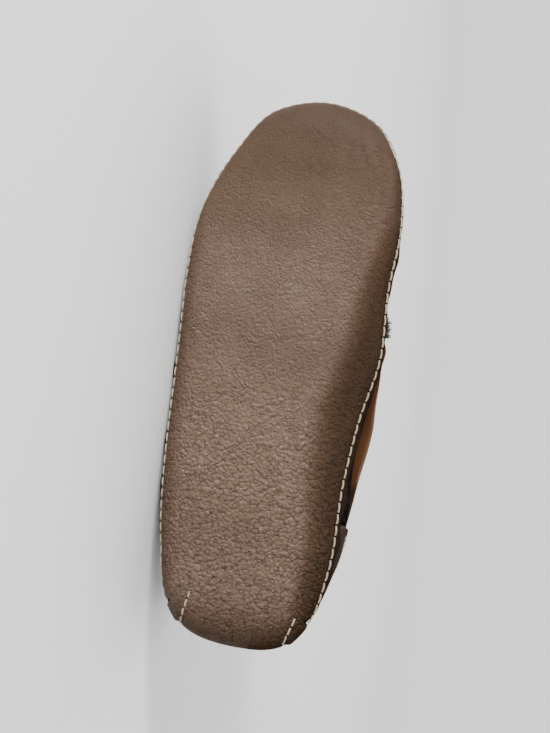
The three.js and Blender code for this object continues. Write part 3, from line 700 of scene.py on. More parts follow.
cream_cord = finish("cream_cord", cord_colour, {"Roughness": 0.7, "Sheen Weight": 0.15}, cord_bump)


def tree_with_inputs(name, inputs):
    """An empty tree of geometry nodes with a geometry input and named inputs for its sizes."""
    tree = bpy.data.node_groups.new(name, "GeometryNodeTree")
    tree.interface.new_socket("Geometry", in_out="OUTPUT", socket_type="NodeSocketGeometry")
    tree.interface.new_socket("Geometry", in_out="INPUT", socket_type="NodeSocketGeometry")
    for label, kind in inputs.items():
        tree.interface.new_socket(label, in_out="INPUT", socket_type=kind)
    return tree, tree.nodes.new("NodeGroupInput").outputs


def close_tree(tree, instances, material):
    """Ends a tree: the instances made real, shaded smooth and given their material."""
    real = add(tree, "GeometryNodeRealizeInstances", {"Geometry": instances})
    soft = add(tree, "GeometryNodeSetShadeSmooth", {"Geometry": real.outputs[0]})
    dyed = add(tree, "GeometryNodeSetMaterial", {"Geometry": soft.outputs[0], "Material": material})
    add(tree, "NodeGroupOutput", {"Geometry": dyed.outputs[0]})


def stitch_tree():
    """A count of stitches along an edge line: arched threads, turned to the line's facing."""
    tree, given = tree_with_inputs("stitches", {
        "Count": "NodeSocketInt", "Stitch Length": "NodeSocketFloat", "Thread Radius": "NodeSocketFloat",
        "Arch": "NodeSocketFloat", "Sunk Ends": "NodeSocketFloat", "Slant": "NodeSocketFloat",
        "Thread": "NodeSocketMaterial"})
    line = add(tree, "GeometryNodeMeshToCurve", {"Mesh": given["Geometry"]})
    spots = add(tree, "GeometryNodeCurveToPoints", {"Curve": line.outputs[0], "Count": given["Count"]},
                mode="COUNT")
    half = times(tree, given["Stitch Length"], 0.5)
    back = times(tree, half, -1.0)
    sunk = times(tree, given["Sunk Ends"], -1.0)
    ends = [add(tree, "ShaderNodeCombineXYZ", {"X": x, "Z": sunk}).outputs[0] for x in (back, half)]
    crest = add(tree, "ShaderNodeCombineXYZ", {"Z": given["Arch"]}).outputs[0]
    arch = add(tree, "GeometryNodeCurveQuadraticBezier",
               {"Resolution": 10, "Start": ends[0], "Middle": crest, "End": ends[1]})
    length = add(tree, "GeometryNodeSplineParameter", {}).outputs["Length"]
    factor = add(tree, "GeometryNodeSplineParameter", {}).outputs["Factor"]
    path = add(tree, "GeometryNodeStoreNamedAttribute",
               {"Geometry": arch.outputs[0], "Name": "thread_along", "Value": length}, domain="POINT")
    hoop = add(tree, "GeometryNodeCurvePrimitiveCircle",
               {"Resolution": 8, "Radius": given["Thread Radius"]})
    profile = add(tree, "GeometryNodeStoreNamedAttribute",
                  {"Geometry": hoop.outputs[0], "Name": "thread_around", "Value": factor}, domain="POINT")
    thread = add(tree, "GeometryNodeCurveToMesh",
                 {"Curve": path.outputs[0], "Profile Curve": profile.outputs[0], "Fill Caps": True})
    facing = add(tree, "GeometryNodeInputNamedAttribute", {"Name": "facing"}, data_type="FLOAT_VECTOR")
    ahead = add(tree, "FunctionNodeAlignRotationToVector", {"Vector": spots.outputs["Tangent"]}, axis="X")
    stood = add(tree, "FunctionNodeAlignRotationToVector",
                {"Rotation": ahead.outputs[0], "Vector": facing.outputs[0]}, axis="Z", pivot_axis="X")
    lean = add(tree, "ShaderNodeCombineXYZ", {"Z": given["Slant"]})
    tilt = add(tree, "FunctionNodeEulerToRotation", {"Euler": lean.outputs[0]})
    slanted = add(tree, "FunctionNodeRotateRotation",
                  {"Rotation": stood.outputs[0], "Rotate By": tilt.outputs[0]}, rotation_space="LOCAL")
    sewn_on = add(tree, "GeometryNodeInstanceOnPoints",
                  {"Points": spots.outputs["Points"], "Instance": thread.outputs[0],
                   "Rotation": slanted.outputs[0]})
    close_tree(tree, sewn_on.outputs[0], given["Thread"])
    return tree


def grown(name, base, tree, sizes):
    """What a tree makes from a base object with its sizes set, kept as a plain mesh."""
    modifier = base.modifiers.new("grown", "NODES")
    modifier.node_group = tree
    for socket in tree.interface.items_tree:
        if socket.name in sizes:
            modifier[socket.identifier] = sizes[socket.name]
    bpy.context.scene.collection.objects.link(base)
    depsgraph = bpy.context.evaluated_depsgraph_get()
    mesh = bpy.data.meshes.new_from_object(base.evaluated_get(depsgraph))
    base.modifiers.remove(modifier)
    bpy.data.objects.remove(base)
    made = bpy.data.objects.new(name, mesh)
    bpy.context.scene.collection.objects.link(made)
    return made


stitches = stitch_tree()


def sew(name, line, facing, pitch, sizes):
    """Sews a row of stitches along a line on the standing shoe, each facing out of the leather."""
    mesh = bpy.data.meshes.new(name + "_line")
    mesh.from_pydata(lay_down(line).tolist(), [(i, i + 1) for i in range(len(line) - 1)], [])
    count = 1 + round(np.linalg.norm(np.diff(line, axis=0), axis=1).sum() / pitch)
    way = mesh.attributes.new("facing", "FLOAT_VECTOR", "POINT")
    way.data.foreach_set("vector", turn_over(facing).astype(np.float32).ravel())
    base = bpy.data.objects.new(name + "_line", mesh)
    made = grown(name, base, stitches, {**sizes, "Count": count})
    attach(made, "root")


SEAM_SLANT = 0.13
STRAIGHT_SLANT = 0.05
SEAM_FACING_DOWN = -0.45
SEAM_OUT = 0.2
SEAM_DRAWN_IN = 0.3
DART_PITCH = 4.7
DART_UNDER = 9.0
DART_OUT = 0.05
CORD_SIZES = {"Stitch Length": 4.5 * MM, "Thread Radius": CORD_RADIUS,
              "Arch": 0.45 * MM, "Sunk Ends": 0.25 * MM, "Slant": SEAM_SLANT, "Thread": cream_cord}
seam_stretch = np.interp(np.arange(sewn_from, sewn_to, 1.0), sole_run, sole_places)
seam_climb = stitch_climb(column("along", seam_stretch, False))
seam_line = beside(seam_stretch, SEAM_OUT - SEAM_DRAWN_IN * seam_climb,
                   column("stitch", seam_stretch) + seam_climb)
seam_out = np.column_stack([seam(seam_stretch)[1], np.full(len(seam_stretch), SEAM_FACING_DOWN)])
sew("seam_stitches", seam_line, seam_out, STITCH_PITCH, CORD_SIZES)
for name, line in dart_lines.items():
    flat_out = np.column_stack([line[:, :2] - [HEEL_END, 0.0], np.zeros(len(line))])
    flat_out = flat_out / np.linalg.norm(flat_out, axis=1, keepdims=True)
    under = smooth((DART_UNDER - line[:, 2]) / DART_UNDER)[:, None]
    dart_out = flat_out * (1 - under) + np.array([0, 0, -1.0]) * under
    row = "dart_stitches_inner" if line[0, 1] > 0 else "dart_stitches_outer"
    sew(row, line + DART_OUT * dart_out, dart_out, DART_PITCH,
        {**CORD_SIZES, "Stitch Length": 3.6 * MM, "Slant": STRAIGHT_SLANT})
WRAP_ROW_DROP = 4.0
FROM_DART = 0.12
WRAP_POINTS = 70
wrap_ends = PLACE["dartLateral"] - SECTION_COUNT + FROM_DART, PLACE["dartMedial"] - FROM_DART
wrap_stretch = np.linspace(*wrap_ends, WRAP_POINTS)
wrap_up = column("rim", wrap_stretch) - WRAP_ROW_DROP
wrap_line = beside(wrap_stretch, sole_out(wrap_stretch, wrap_up), wrap_up)
wrap_out = np.column_stack([seam(wrap_stretch)[1], np.zeros(len(wrap_stretch))])
sew("wrap_stitches", wrap_line, wrap_out, STITCH_PITCH,
    {**CORD_SIZES, "Slant": STRAIGHT_SLANT})

# Insole
# A thin pad faced with short black pile. It lies loose in the sole's dish, pressed a little hollow where
# heel and ball of the foot stand.
INSOLE_THICKNESS = 3.0
SEAT_GAP = 0.4
INSOLE_EDGE_ANGLE = 30
INSOLE_COLUMNS = 420
INSOLE_ROWS = 40
INSOLE_TOP_RING = 4
PRESSED = ((52.0, -1.0, 26.0, 0.9), (205.0, 2.0, 30.0, 0.8))
INSOLE_NAP = ((0.22, 7, 11), (0.18, 3.6, 12))
NAP_SUNK = 0.2
# From the bottom's edge to the top: shares of the edge's width, of its lift and of the thickness
INSOLE_PROFILE = ((0, 0, 0), (0.55, 0.5, 0.12), (0.97, 1, 0.5), (1, 1, 0.72),
                  (0.975, 1, 0.9), (0.9, 1, 1.0), (0.75, 0.8, 1.0))
insole_places = loop_places(INSOLE_COLUMNS)
insole_share = np.sin(np.radians(INSOLE_EDGE_ANGLE))
insole_lift = (1 - np.cos(np.radians(INSOLE_EDGE_ANGLE))) * (dish_corner(insole_places) - SOLE_THICKNESS)
insole_roll = column("roll", insole_places)
insole_skin = Skin()
insole_rings = []
for edge_share, lift_share, height in INSOLE_PROFILE:
    out = -insole_roll + (insole_roll - LIP) * insole_share * edge_share
    up = SOLE_THICKNESS + SEAT_GAP + insole_lift * lift_share + INSOLE_THICKNESS * height
    insole_rings.append(insole_skin.ring(beside(insole_places, out, up)))
insole_skin.tube(insole_rings)
insole_skin.fill(insole_rings[0], HIDDEN_ROWS, False)
bottom_count = insole_skin.count
insole_skin.fill(insole_rings[-1], INSOLE_ROWS, True)
insole = insole_skin.piece("insole_pad")
insole_points = np.concatenate(insole_skin.points)
insole_top = np.arange(insole_skin.count) >= bottom_count
insole_top[np.concatenate(insole_rings[INSOLE_TOP_RING:])] = True
nap = sum(height * waves(insole_points, length, seed) for height, length, seed in INSOLE_NAP)
for x, y, width, depth in PRESSED:
    nap = nap - depth * bell(np.hypot(insole_points[:, 0] - x, insole_points[:, 1] - y), width)
raise_surface(insole, np.where(insole_top, nap - NAP_SUNK, 0))

PILE_BLACK = (0.012, 0.012, 0.014)
PILE_GREY = (0.034, 0.034, 0.038)


def pile_colour(tree, where):
    return blended(tree, ramp(tree, noise(tree, where, 700, 3), 0.35, 0.7), PILE_BLACK, PILE_GREY)


def pile_bump(tree, where):
    clumps = times(tree, noise(tree, where, 420, 2), 0.0006)
    return plus(tree, clumps, times(tree, noise(tree, where, 1800, 3), 0.0005))


PILE_SURFACE = {"Roughness": 0.95, "Specular IOR Level": 0.15,
                "Sheen Weight": 0.35, "Sheen Roughness": 0.5}
black_pile = finish("black_pile", pile_colour, PILE_SURFACE, pile_bump)
insole.data.materials.append(black_pile)
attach(insole, "root")
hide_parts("insole")


def pile_tree():
    """Short curled fibres strewn over a surface, leaning at random from its normals."""
    tree, given = tree_with_inputs("pile", {
        "Density": "NodeSocketFloat", "Length": "NodeSocketFloat", "Root Radius": "NodeSocketFloat",
        "Curl": "NodeSocketFloat", "Lean": "NodeSocketFloat", "Seed": "NodeSocketInt",
        "Fibre": "NodeSocketMaterial"})
    spots = add(tree, "GeometryNodeDistributePointsOnFaces",
                {"Mesh": given["Geometry"], "Density": given["Density"], "Seed": given["Seed"]},
                distribute_method="RANDOM")
    tip = times(tree, given["Root Radius"], 0.3)
    fibre = add(tree, "GeometryNodeMeshCone",
                {"Vertices": 3, "Side Segments": 3, "Radius Top": tip,
                 "Radius Bottom": given["Root Radius"], "Depth": given["Length"]}, fill_type="NONE")
    here = add(tree, "GeometryNodeInputPosition", {})
    split = add(tree, "ShaderNodeSeparateXYZ", {"Vector": here.outputs[0]})
    reach = calc(tree, "DIVIDE", split.outputs["Z"], given["Length"])
    bend = times(tree, times(tree, reach, reach), given["Curl"])
    aside = add(tree, "ShaderNodeCombineXYZ", {"X": bend})
    curled = add(tree, "GeometryNodeSetPosition",
                 {"Geometry": fibre.outputs[0], "Offset": aside.outputs[0]})
    back = times(tree, given["Lean"], -1.0)
    low = add(tree, "ShaderNodeCombineXYZ", {"X": back, "Y": back})
    high = add(tree, "ShaderNodeCombineXYZ", {"X": given["Lean"], "Y": given["Lean"], "Z": 2 * np.pi})
    turn = add(tree, "FunctionNodeRandomValue",
               {0: low.outputs[0], 1: high.outputs[0], "Seed": given["Seed"]}, data_type="FLOAT_VECTOR")
    swing = add(tree, "FunctionNodeEulerToRotation", {"Euler": turn.outputs[0]})
    stood = add(tree, "FunctionNodeRotateRotation",
                {"Rotation": spots.outputs["Rotation"], "Rotate By": swing.outputs[0]},
                rotation_space="LOCAL")
    size = add(tree, "FunctionNodeRandomValue", {2: 0.6, 3: 1.2, "Seed": given["Seed"]},
               data_type="FLOAT")
    strewn = add(tree, "GeometryNodeInstanceOnPoints",
                 {"Points": spots.outputs["Points"], "Instance": curled.outputs[0],
                  "Rotation": stood.outputs[0], "Scale": size.outputs[1]})
    close_tree(tree, strewn.outputs[0], given["Fibre"])
    return tree


pile = pile_tree()


def grow_pile(name, skin, sizes):
    """Pile over a surface that was grown as a skin on the standing shoe."""
    mesh = bpy.data.meshes.new(name + "_ground")
    mesh.from_pydata(lay_down(np.concatenate(skin.points)).tolist(), [], skin.faces)
    base = bpy.data.objects.new(name + "_ground", mesh)
    made = grown(name, base, pile, {**sizes, "Fibre": black_pile})
    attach(made, "root")


PILE_ROOT = 0.00022
ROOTS_BELOW = 0.5
NAP_ROWS = 24
nap_skin = Skin()
nap_ring = nap_skin.ring(insole_points[insole_rings[-1]] - [0, 0, ROOTS_BELOW])
nap_skin.fill(nap_ring, NAP_ROWS, True)
grow_pile("insole_nap", nap_skin, {
    "Density": 330000.0, "Length": 0.0021, "Root Radius": PILE_ROOT,
    "Curl": 0.0011, "Lean": 0.7, "Seed": 5})

# Upper
# One shell of smooth tan leather, drawn over the last: a vamp that comes up round the foot and an apron on
# top, joined by a raised, gathered seam over the toes. Its foot is sewn inside the sole's lip.
INSTEP_HEIGHT = 69.0
HEEL_HEIGHT = 63.0
SIDE_HEIGHT = 50.0
COLLAR = {"middle": 0.293, "half_length": 0.265, "half_width": 0.345, "shift": -0.01, "fullness": 2.2}
MEDIAL_LIFT = 1.2
FOOT_LIFT = 0.7
WALL = 3.0
LEATHER = 1.5
APRON = {"raise": 2.2, "half_width": 0.035, "fullness": 1.25, "end_turn": 134, "fade_turn": 12}
UPPER_COLUMNS = 760


def collar(turn):
    """Points of the collar at turns round its oval, in degrees from its back."""
    c, d = np.cos(np.radians(turn)), np.sin(np.radians(turn))
    c_full = np.sign(c) * np.abs(c) ** (2 / COLLAR["fullness"])
    d_full = np.sign(d) * np.abs(d) ** (2 / COLLAR["fullness"])
    x = (COLLAR["middle"] - COLLAR["half_length"] * c_full) * LENGTH
    y = (COLLAR["shift"] + COLLAR["half_width"] * d_full) * BALL_WIDTH
    back = np.maximum(0, c) ** 2 * (HEEL_HEIGHT - SIDE_HEIGHT)
    front = np.maximum(0, -c) ** 2 * (INSTEP_HEIGHT - SIDE_HEIGHT)
    return np.stack([x, y, SIDE_HEIGHT + back + front + MEDIAL_LIFT * d], -1)


def wall(s, v):
    """Points of the upper's outer face at places s and shares v of the way from foot to collar."""
    foot_up = dish_corner(s) + FOOT_LIFT
    out = sole_out(s, foot_up) - LIP - SEAT_GAP
    foot = beside(s, out, foot_up)
    top = collar(column("turn", s))
    first = beside(s, out + column("bulge", s), foot_up)
    first[..., 2] = foot[..., 2] + column("rise", s)
    second = top + (foot - top) * column("reach", s)[..., None]
    second[..., :2] += seam(s)[1] * column("belly", s)[..., None]
    second[..., 2] = top[..., 2] - column("drop", s)
    v = np.asarray(v)[..., None]
    w = 1 - v
    return foot * w**3 + 3 * first * w**2 * v + 3 * second * w * v**2 + top * v**3


def wall_normal(s, v):
    """Directions out of the upper's outer face."""
    step = 0.02
    along = wall(s + step, v) - wall(s - step, v)
    up = wall(s, np.clip(v + step, 0, 1)) - wall(s, np.clip(v - step, 0, 1))
    normal = np.cross(up, along)
    return normal / np.linalg.norm(normal, axis=-1, keepdims=True)


def wall_point(s, v, offset):
    """Points at a distance out of the upper's outer face."""
    return wall(s, v) + wall_normal(s, v) * np.asarray(offset)[..., None]


def apron_fade(s):
    """1 where the apron seam is raised, over the toes, and 0 behind its ends beside the collar."""
    turn = column("turn", s)
    return smooth((np.minimum(turn, 360 - turn) - APRON["end_turn"]) / APRON["fade_turn"] + 0.5)


# Gathers beside the apron seam, and listed creases: place along the shoe at the middle and the skew
# towards the outer side, in mm, with their half width, depth and how far down the sides they reach
GATHER = {"pitch": 7.2, "height": 0.75, "reach": 13.0, "over_seam": 2.2}
FLEX_CREASES = (
    (186.0, 0.10, 2.6, 1.2, 38.0),
    (200.0, 0.16, 3.0, 1.3, 40.0),
    (213.0, 0.20, 2.6, 0.8, 36.0),
)
CREASE = {"bow": 0.004, "fade": 14.0, "ridge": 0.5}
SIDE_SLACK = {"length": 26, "height": 0.28, "from": 14.0, "over": 10.0}
FOOT_FOLD = {"along": 160.0, "half_length": 6.0, "up": 25.0, "half_height": 5.0, "height": 2.2,
             "above_lip": 5.0, "fade": 3.0}
DEEPEST = 1.1
CALM_RIM = 0.08
# Painted shade on the leather from the lip up, darker beside the counter, and black painted shade where the
# lip hides it
LOW_WALL_SHADE = {"up": 26.0, "over": 20.0, "dark": 0.55}
BESIDE_COUNTER = {"front": 97.0, "fade": 12.0, "up": 24.0, "fade_up": 11.0, "dark": 0.92}
UNDER_LIP = {"up": 2.0, "over": 1.5}
UPPER_ROWS = {"vamp": 26, "seam": 12, "apron": 22, "inside": 9}


def flexed(points):
    """Creases where the foot bends, each a trough with a low ridge in front of it."""
    made = np.zeros(len(points))
    for middle, skew, width, depth, reach in FLEX_CREASES:
        off = points[:, 0] - middle + skew * points[:, 1] + CREASE["bow"] * points[:, 1] ** 2
        down_side = smooth((reach - np.abs(points[:, 1])) / CREASE["fade"])
        made = made - depth * bell(off, width) * down_side
        made = made + CREASE["ridge"] * depth * bell(off - 2 * width, width) * down_side
    return made


def folded(points, lip_top):
    """A small fold of the inner side that puffs out over the lip."""
    made = FOOT_FOLD["height"] * bell(points[:, 0] - FOOT_FOLD["along"], FOOT_FOLD["half_length"])
    made = made * bell(points[:, 2] - FOOT_FOLD["up"], FOOT_FOLD["half_height"]) * (points[:, 1] > 0)
    return made * smooth((points[:, 2] - lip_top - FOOT_FOLD["above_lip"]) / FOOT_FOLD["fade"])


def darkened(points, lip_top):
    """How dark the upper is: painted shade above the lip, darker beside the counter, black painted shade
    under the lip.
    """
    over_lip = points[:, 2] - lip_top
    low_wall_shade = LOW_WALL_SHADE["dark"] * smooth((LOW_WALL_SHADE["up"] - over_lip) / LOW_WALL_SHADE["over"])
    near_counter = smooth((BESIDE_COUNTER["front"] - points[:, 0]) / BESIDE_COUNTER["fade"])
    near_counter = near_counter * smooth((BESIDE_COUNTER["up"] - over_lip) / BESIDE_COUNTER["fade_up"])
    under_lip = smooth((UNDER_LIP["up"] - over_lip) / UNDER_LIP["over"])
    return np.max([low_wall_shade, BESIDE_COUNTER["dark"] * near_counter, under_lip], axis=0)


upper_places = loop_places(UPPER_COLUMNS)
apron_share = column("apron", upper_places)
apron_height = apron_fade(upper_places)
ridge_half = APRON["half_width"]
ridge_top = apron_share + ridge_half
above_ridge = 1 - apron_share - ridge_half
shares = [apron_share * 0]
shares += [(apron_share - ridge_half) * t for t in np.linspace(0, 1, UPPER_ROWS["vamp"] + 1)[1:]]
shares += [apron_share + ridge_half * t for t in np.linspace(-1, 1, UPPER_ROWS["seam"] + 1)[1:]]
shares += [ridge_top + above_ridge * t for t in np.linspace(0, 1, UPPER_ROWS["apron"] + 1)[1:]]
apron_line = wall_point(upper_places, apron_share, APRON["raise"])
apron_sewn = np.flatnonzero(apron_height > 0.5)
apron_step = np.linalg.norm(np.diff(apron_line, axis=0), axis=1)
apron_run = np.concatenate([[0], np.cumsum(apron_step)])
apron_run = apron_run - apron_run[apron_sewn[0]]
apron_length = apron_run[apron_sewn[-1]]
gather_pitch = apron_length / round(apron_length / GATHER["pitch"])
gather_wave = -GATHER["height"] * np.cos(2 * np.pi * apron_run / gather_pitch) * apron_height
upper_skin = Skin()
upper_rings, upper_relief, foot_dark = [], [], []
for share in shares:
    points = wall(upper_places, share)
    from_seam = np.abs(share - apron_share) / ridge_half
    ridge = APRON["raise"] * apron_height * smooth(APRON["fullness"] * (1 - from_seam))
    drop = np.linalg.norm(points - apron_line, axis=1) * np.sign(apron_share - share)
    gathered = gather_wave * bell(drop, np.where(drop > 0, GATHER["reach"], GATHER["over_seam"]))
    lip_top = ground(points[:, 0]) + column("rim", upper_places)
    slack = SIDE_SLACK["height"] * waves(points, SIDE_SLACK["length"], 21)
    slack = slack * smooth((points[:, 2] - SIDE_SLACK["from"]) / SIDE_SLACK["over"])
    shaped = flexed(points) + slack + folded(points, lip_top)
    shaped = gathered + shaped * smooth((1 - share) / CALM_RIM)
    upper_rings.append(upper_skin.ring(wall_point(upper_places, share, ridge)))
    upper_relief.append(np.where(shaped < 0, DEEPEST * np.tanh(shaped / DEEPEST), shaped))
    foot_dark.append(darkened(points, lip_top))
for share in np.linspace(1, 0, UPPER_ROWS["inside"]):
    upper_rings.append(upper_skin.ring(wall_point(upper_places, share, -LEATHER)))
    upper_relief.append(np.zeros(UPPER_COLUMNS))
    # The inside face, under the lining, is black all over
    foot_dark.append(np.ones(UPPER_COLUMNS))
upper_skin.tube(upper_rings, closed=True)
DARKEST_CREASE = 1.6
upper = upper_skin.piece("upper_leather")
raise_surface(upper, np.concatenate(upper_relief))
# Painted shade low on the wall and under the lip, darker beside the counter
mark(upper, "foot", np.concatenate(foot_dark))
# Painted shade in the troughs of the leather's relief: creases, gathers and slack
mark(upper, "crease", np.clip(-np.concatenate(upper_relief) / DARKEST_CREASE, 0, 1))

TAN = (0.096, 0.037, 0.0105)
TAN_PALE = (0.124, 0.050, 0.0155)
TAN_DEEP = (0.036, 0.012, 0.0034)
# FOOT_BLACK: painted shade low on the upper and under the lip, and the dark beside the counter
FOOT_BLACK = (0.010, 0.009, 0.009)


def tan_grain(tree, where):
    pushed = warped(tree, where, 500, 0.0008)
    return ramp(tree, cells(tree, pushed, 0.0010, "DISTANCE_TO_EDGE"), 0.0, 0.22, 1, 0)


def tan_colour(tree, where):
    made = blended(tree, ramp(tree, noise(tree, where, 32, 4, 0.6), 0.36, 0.66), TAN, TAN_PALE)
    made = blended(tree, ramp(tree, noise(tree, where, 110, 3), 0.5, 0.75, 0, 0.2), made, TAN_DEEP)
    made = blended(tree, times(tree, tan_grain(tree, where), 0.25), made, TAN_DEEP)
    # Painted shade in the relief's troughs
    made = blended(tree, times(tree, attribute(tree, "crease"), 0.45), made, TAN_DEEP)
    # Painted shade low on the wall and under the lip, darker beside the counter
    return blended(tree, attribute(tree, "foot"), made, FOOT_BLACK)


def tan_bump(tree, where):
    grain = times(tree, tan_grain(tree, where), -0.00010)
    return plus(tree, grain, times(tree, noise(tree, where, 900, 3), 0.00012))


def tan_roughness(tree, where):
    return ramp(tree, noise(tree, where, 90, 3), 0.3, 0.7, 0.46, 0.62)


def tan_gloss(tree, where):
    return ramp(tree, attribute(tree, "foot"), 0.0, 0.4, 0.16, 0.0)


tan_leather = finish("tan_leather", tan_colour,
                     {"Roughness": tan_roughness, "Specular IOR Level": tan_gloss}, tan_bump)
upper.data.materials.append(tan_leather)
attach(upper, "root")
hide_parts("upper")

# Apron seam
# Whip stitches of the same cream cord over the raised seam, one to each gather.
apron_out = wall_normal(upper_places, apron_share)[apron_sewn]
APRON_SUNK = 0.2
whip_line = apron_line[apron_sewn] - APRON_SUNK * apron_out
sew("apron_stitches", whip_line, apron_out, gather_pitch,
    {**CORD_SIZES, "Stitch Length": 5.4 * MM, "Arch": 2.0 * MM, "Sunk Ends": 1.5 * MM,
     "Slant": np.radians(72)})

# Lining
# Short black pile on a thin backing, glued inside the leather from the foot of the upper to the collar.
LINING_COLUMNS = 420
LINING_ROWS = 26
LINING_FACE = 2.7
LINING_BACK = LEATHER + 0.1
LINING_BACK_ROWS = 6
LINING_NAP = ((0.14, 6, 31), (0.1, 3.4, 32))
lining_places = loop_places(LINING_COLUMNS)
lining_skin = Skin()
lining_rings = []
lining_nap = []
for share in np.linspace(0, 1, LINING_BACK_ROWS):
    lining_rings.append(lining_skin.ring(wall_point(lining_places, share, -LINING_BACK)))
    lining_nap.append(np.zeros(LINING_COLUMNS))
for share in np.linspace(1, 0, LINING_ROWS):
    points = wall_point(lining_places, share, -LINING_FACE)
    lining_rings.append(lining_skin.ring(points))
    lining_nap.append(sum(height * waves(points, length, seed) for height, length, seed in LINING_NAP))
lining_skin.tube(lining_rings, closed=True)
lining = lining_skin.piece("lining")
raise_surface(lining, np.concatenate(lining_nap))
lining.data.materials.append(black_pile)
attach(lining, "root")
lining_face = Skin()
lining_face.tube([lining_face.ring(points) for points in lining_skin.points[LINING_BACK_ROWS::3]])
grow_pile("lining_nap", lining_face, {
    "Density": 200000.0, "Length": 0.0019, "Root Radius": PILE_ROOT,
    "Curl": 0.001, "Lean": 0.7, "Seed": 7})

# Tuft
# A pinch of the lining's fibres that was caught in the seam and sticks out over the lip on the inner side,
# beside the ball of the foot.
TUFT = {"from": 0.582, "to": 0.607, "low": 0.1, "high": 1.1, "columns": 12, "off_wall": 0.3}
HIGHEST_LIP = 0.7


def share_at_height(s, height):
    """Share of the way up the wall at which it reaches a height."""
    low, high = np.zeros(len(s)), np.full(len(s), HIGHEST_LIP)
    for _ in range(30):
        middle = (low + high) / 2
        under = wall(s, middle)[:, 2] < height
        low, high = np.where(under, middle, low), np.where(under, high, middle)
    return (low + high) / 2


def rim_top(s, above):
    """Share of the wall a little above the edge of the sole's lip."""
    lip = beside(s, column("flare", s), column("rim", s) + above)
    return share_at_height(s, lip[:, 2])


def place_along(share, low, high):
    """Place round the loop where the seam line reaches a share of the length."""
    fine = np.linspace(low, high, SEAM_SAMPLES)
    return fine[np.abs(column("along", fine, False) - share).argmin()]


tuft_ends = [place_along(TUFT[end], PLACE["notchMedial"], PLACE["toeTip"]) for end in ("from", "to")]
tuft_places = np.linspace(*tuft_ends, TUFT["columns"])
tuft_skin = Skin()
tuft_rows = [tuft_skin.ring(wall_point(tuft_places, rim_top(tuft_places, TUFT[row]), TUFT["off_wall"]))
             for row in ("low", "high")]
tuft_skin.band(*tuft_rows, False)
grow_pile("lining_tuft", tuft_skin, {
    "Density": 16000000.0, "Length": 0.0040, "Root Radius": 0.0004,
    "Curl": 0.0012, "Lean": 0.45, "Seed": 13})

# Counter
# A stiffened counter of dark, dull leather round the outside of the heel, lapped over the upper, skived at
# its edges and sewn on with two fine rows of cream thread.
COUNTER = {"front": 0.245, "slope_start": 0.05, "top": 0.86, "front_top": 0.5,
           "lift": 1.8, "gap": 0.7, "thickness": 1.4, "edge": 1.3}
COUNTER_COLUMNS = 340
COUNTER_ROWS = 24
COUNTER_EDGE_ROWS = np.array([0, 0.008, 0.02, 0.035])


def overlay(name, stretch, low, high, gap, thickness, rows, edge):
    """A strip on the upper between two shares of its wall, with rounded edges and ends."""
    run = np.concatenate([[0], np.cumsum(np.linalg.norm(np.diff(wall(stretch, low), axis=0), axis=1))])
    to_end = np.minimum(run, run[-1] - run)
    span = np.linalg.norm(wall(stretch, high) - wall(stretch, low), axis=1)
    skin = Skin()
    outer, inner = [], []
    for t in rows:
        share = low + (high - low) * t
        to_edge = np.minimum(np.minimum(t, 1 - t) * span, to_end)
        rounded = np.sqrt(1 - (1 - np.clip(to_edge / edge, 0, 1)) ** 2)
        outer.append(skin.ring(wall_point(stretch, share, gap + thickness * rounded)))
        inner.append(skin.ring(wall_point(stretch, share, gap)))
    for k in range(len(rows) - 1):
        skin.band(outer[k], outer[k + 1], False)
        skin.band(inner[k + 1], inner[k], False)
    made = skin.piece(name)
    shell = bmesh.new()
    shell.from_mesh(made.data)
    bmesh.ops.remove_doubles(shell, verts=shell.verts, dist=1e-7)
    shell.to_mesh(made.data)
    shell.free()
    return made


inner_front = place_along(COUNTER["front"], PLACE["notchMedial"], PLACE["toeTip"])
outer_front = place_along(COUNTER["front"], PLACE["toeTip"], PLACE["notchLateral"])
counter_places = np.linspace(outer_front - SECTION_COUNT, inner_front, COUNTER_COLUMNS)
forward = smooth((column("along", counter_places, False) - COUNTER["slope_start"])
                 / (COUNTER["front"] - COUNTER["slope_start"]))
counter_high = COUNTER["top"] + (COUNTER["front_top"] - COUNTER["top"]) * forward
counter_low = rim_top(counter_places, COUNTER["lift"])
counter_rows = np.concatenate([
    COUNTER_EDGE_ROWS, np.linspace(0.05, 0.95, COUNTER_ROWS), 1 - COUNTER_EDGE_ROWS[::-1]])
counter = overlay("counter_leather", counter_places, counter_low, counter_high,
                  COUNTER["gap"], COUNTER["thickness"], counter_rows, COUNTER["edge"])
COUNTER_DARK = (0.030, 0.022, 0.017)
COUNTER_WORN = (0.042, 0.031, 0.024)


def counter_grain(tree, where):
    pushed = warped(tree, where, 300, 0.0018)
    grooves = ramp(tree, cells(tree, pushed, PEBBLE_FINE, "DISTANCE_TO_EDGE"), 0.02, 0.26, 1, 0)
    return times(tree, grooves, ramp(tree, noise(tree, where, 330, 2), 0.36, 0.62))


def counter_colour(tree, where):
    made = blended(tree, ramp(tree, noise(tree, where, 60, 3), 0.35, 0.65), COUNTER_DARK, COUNTER_WORN)
    return blended(tree, times(tree, counter_grain(tree, where), 0.4), made, NOTCH_DARK)


def counter_bump(tree, where):
    return calc(tree, "SUBTRACT", times(tree, noise(tree, where, 1500, 2), 0.0001),
                times(tree, counter_grain(tree, where), 0.0002))


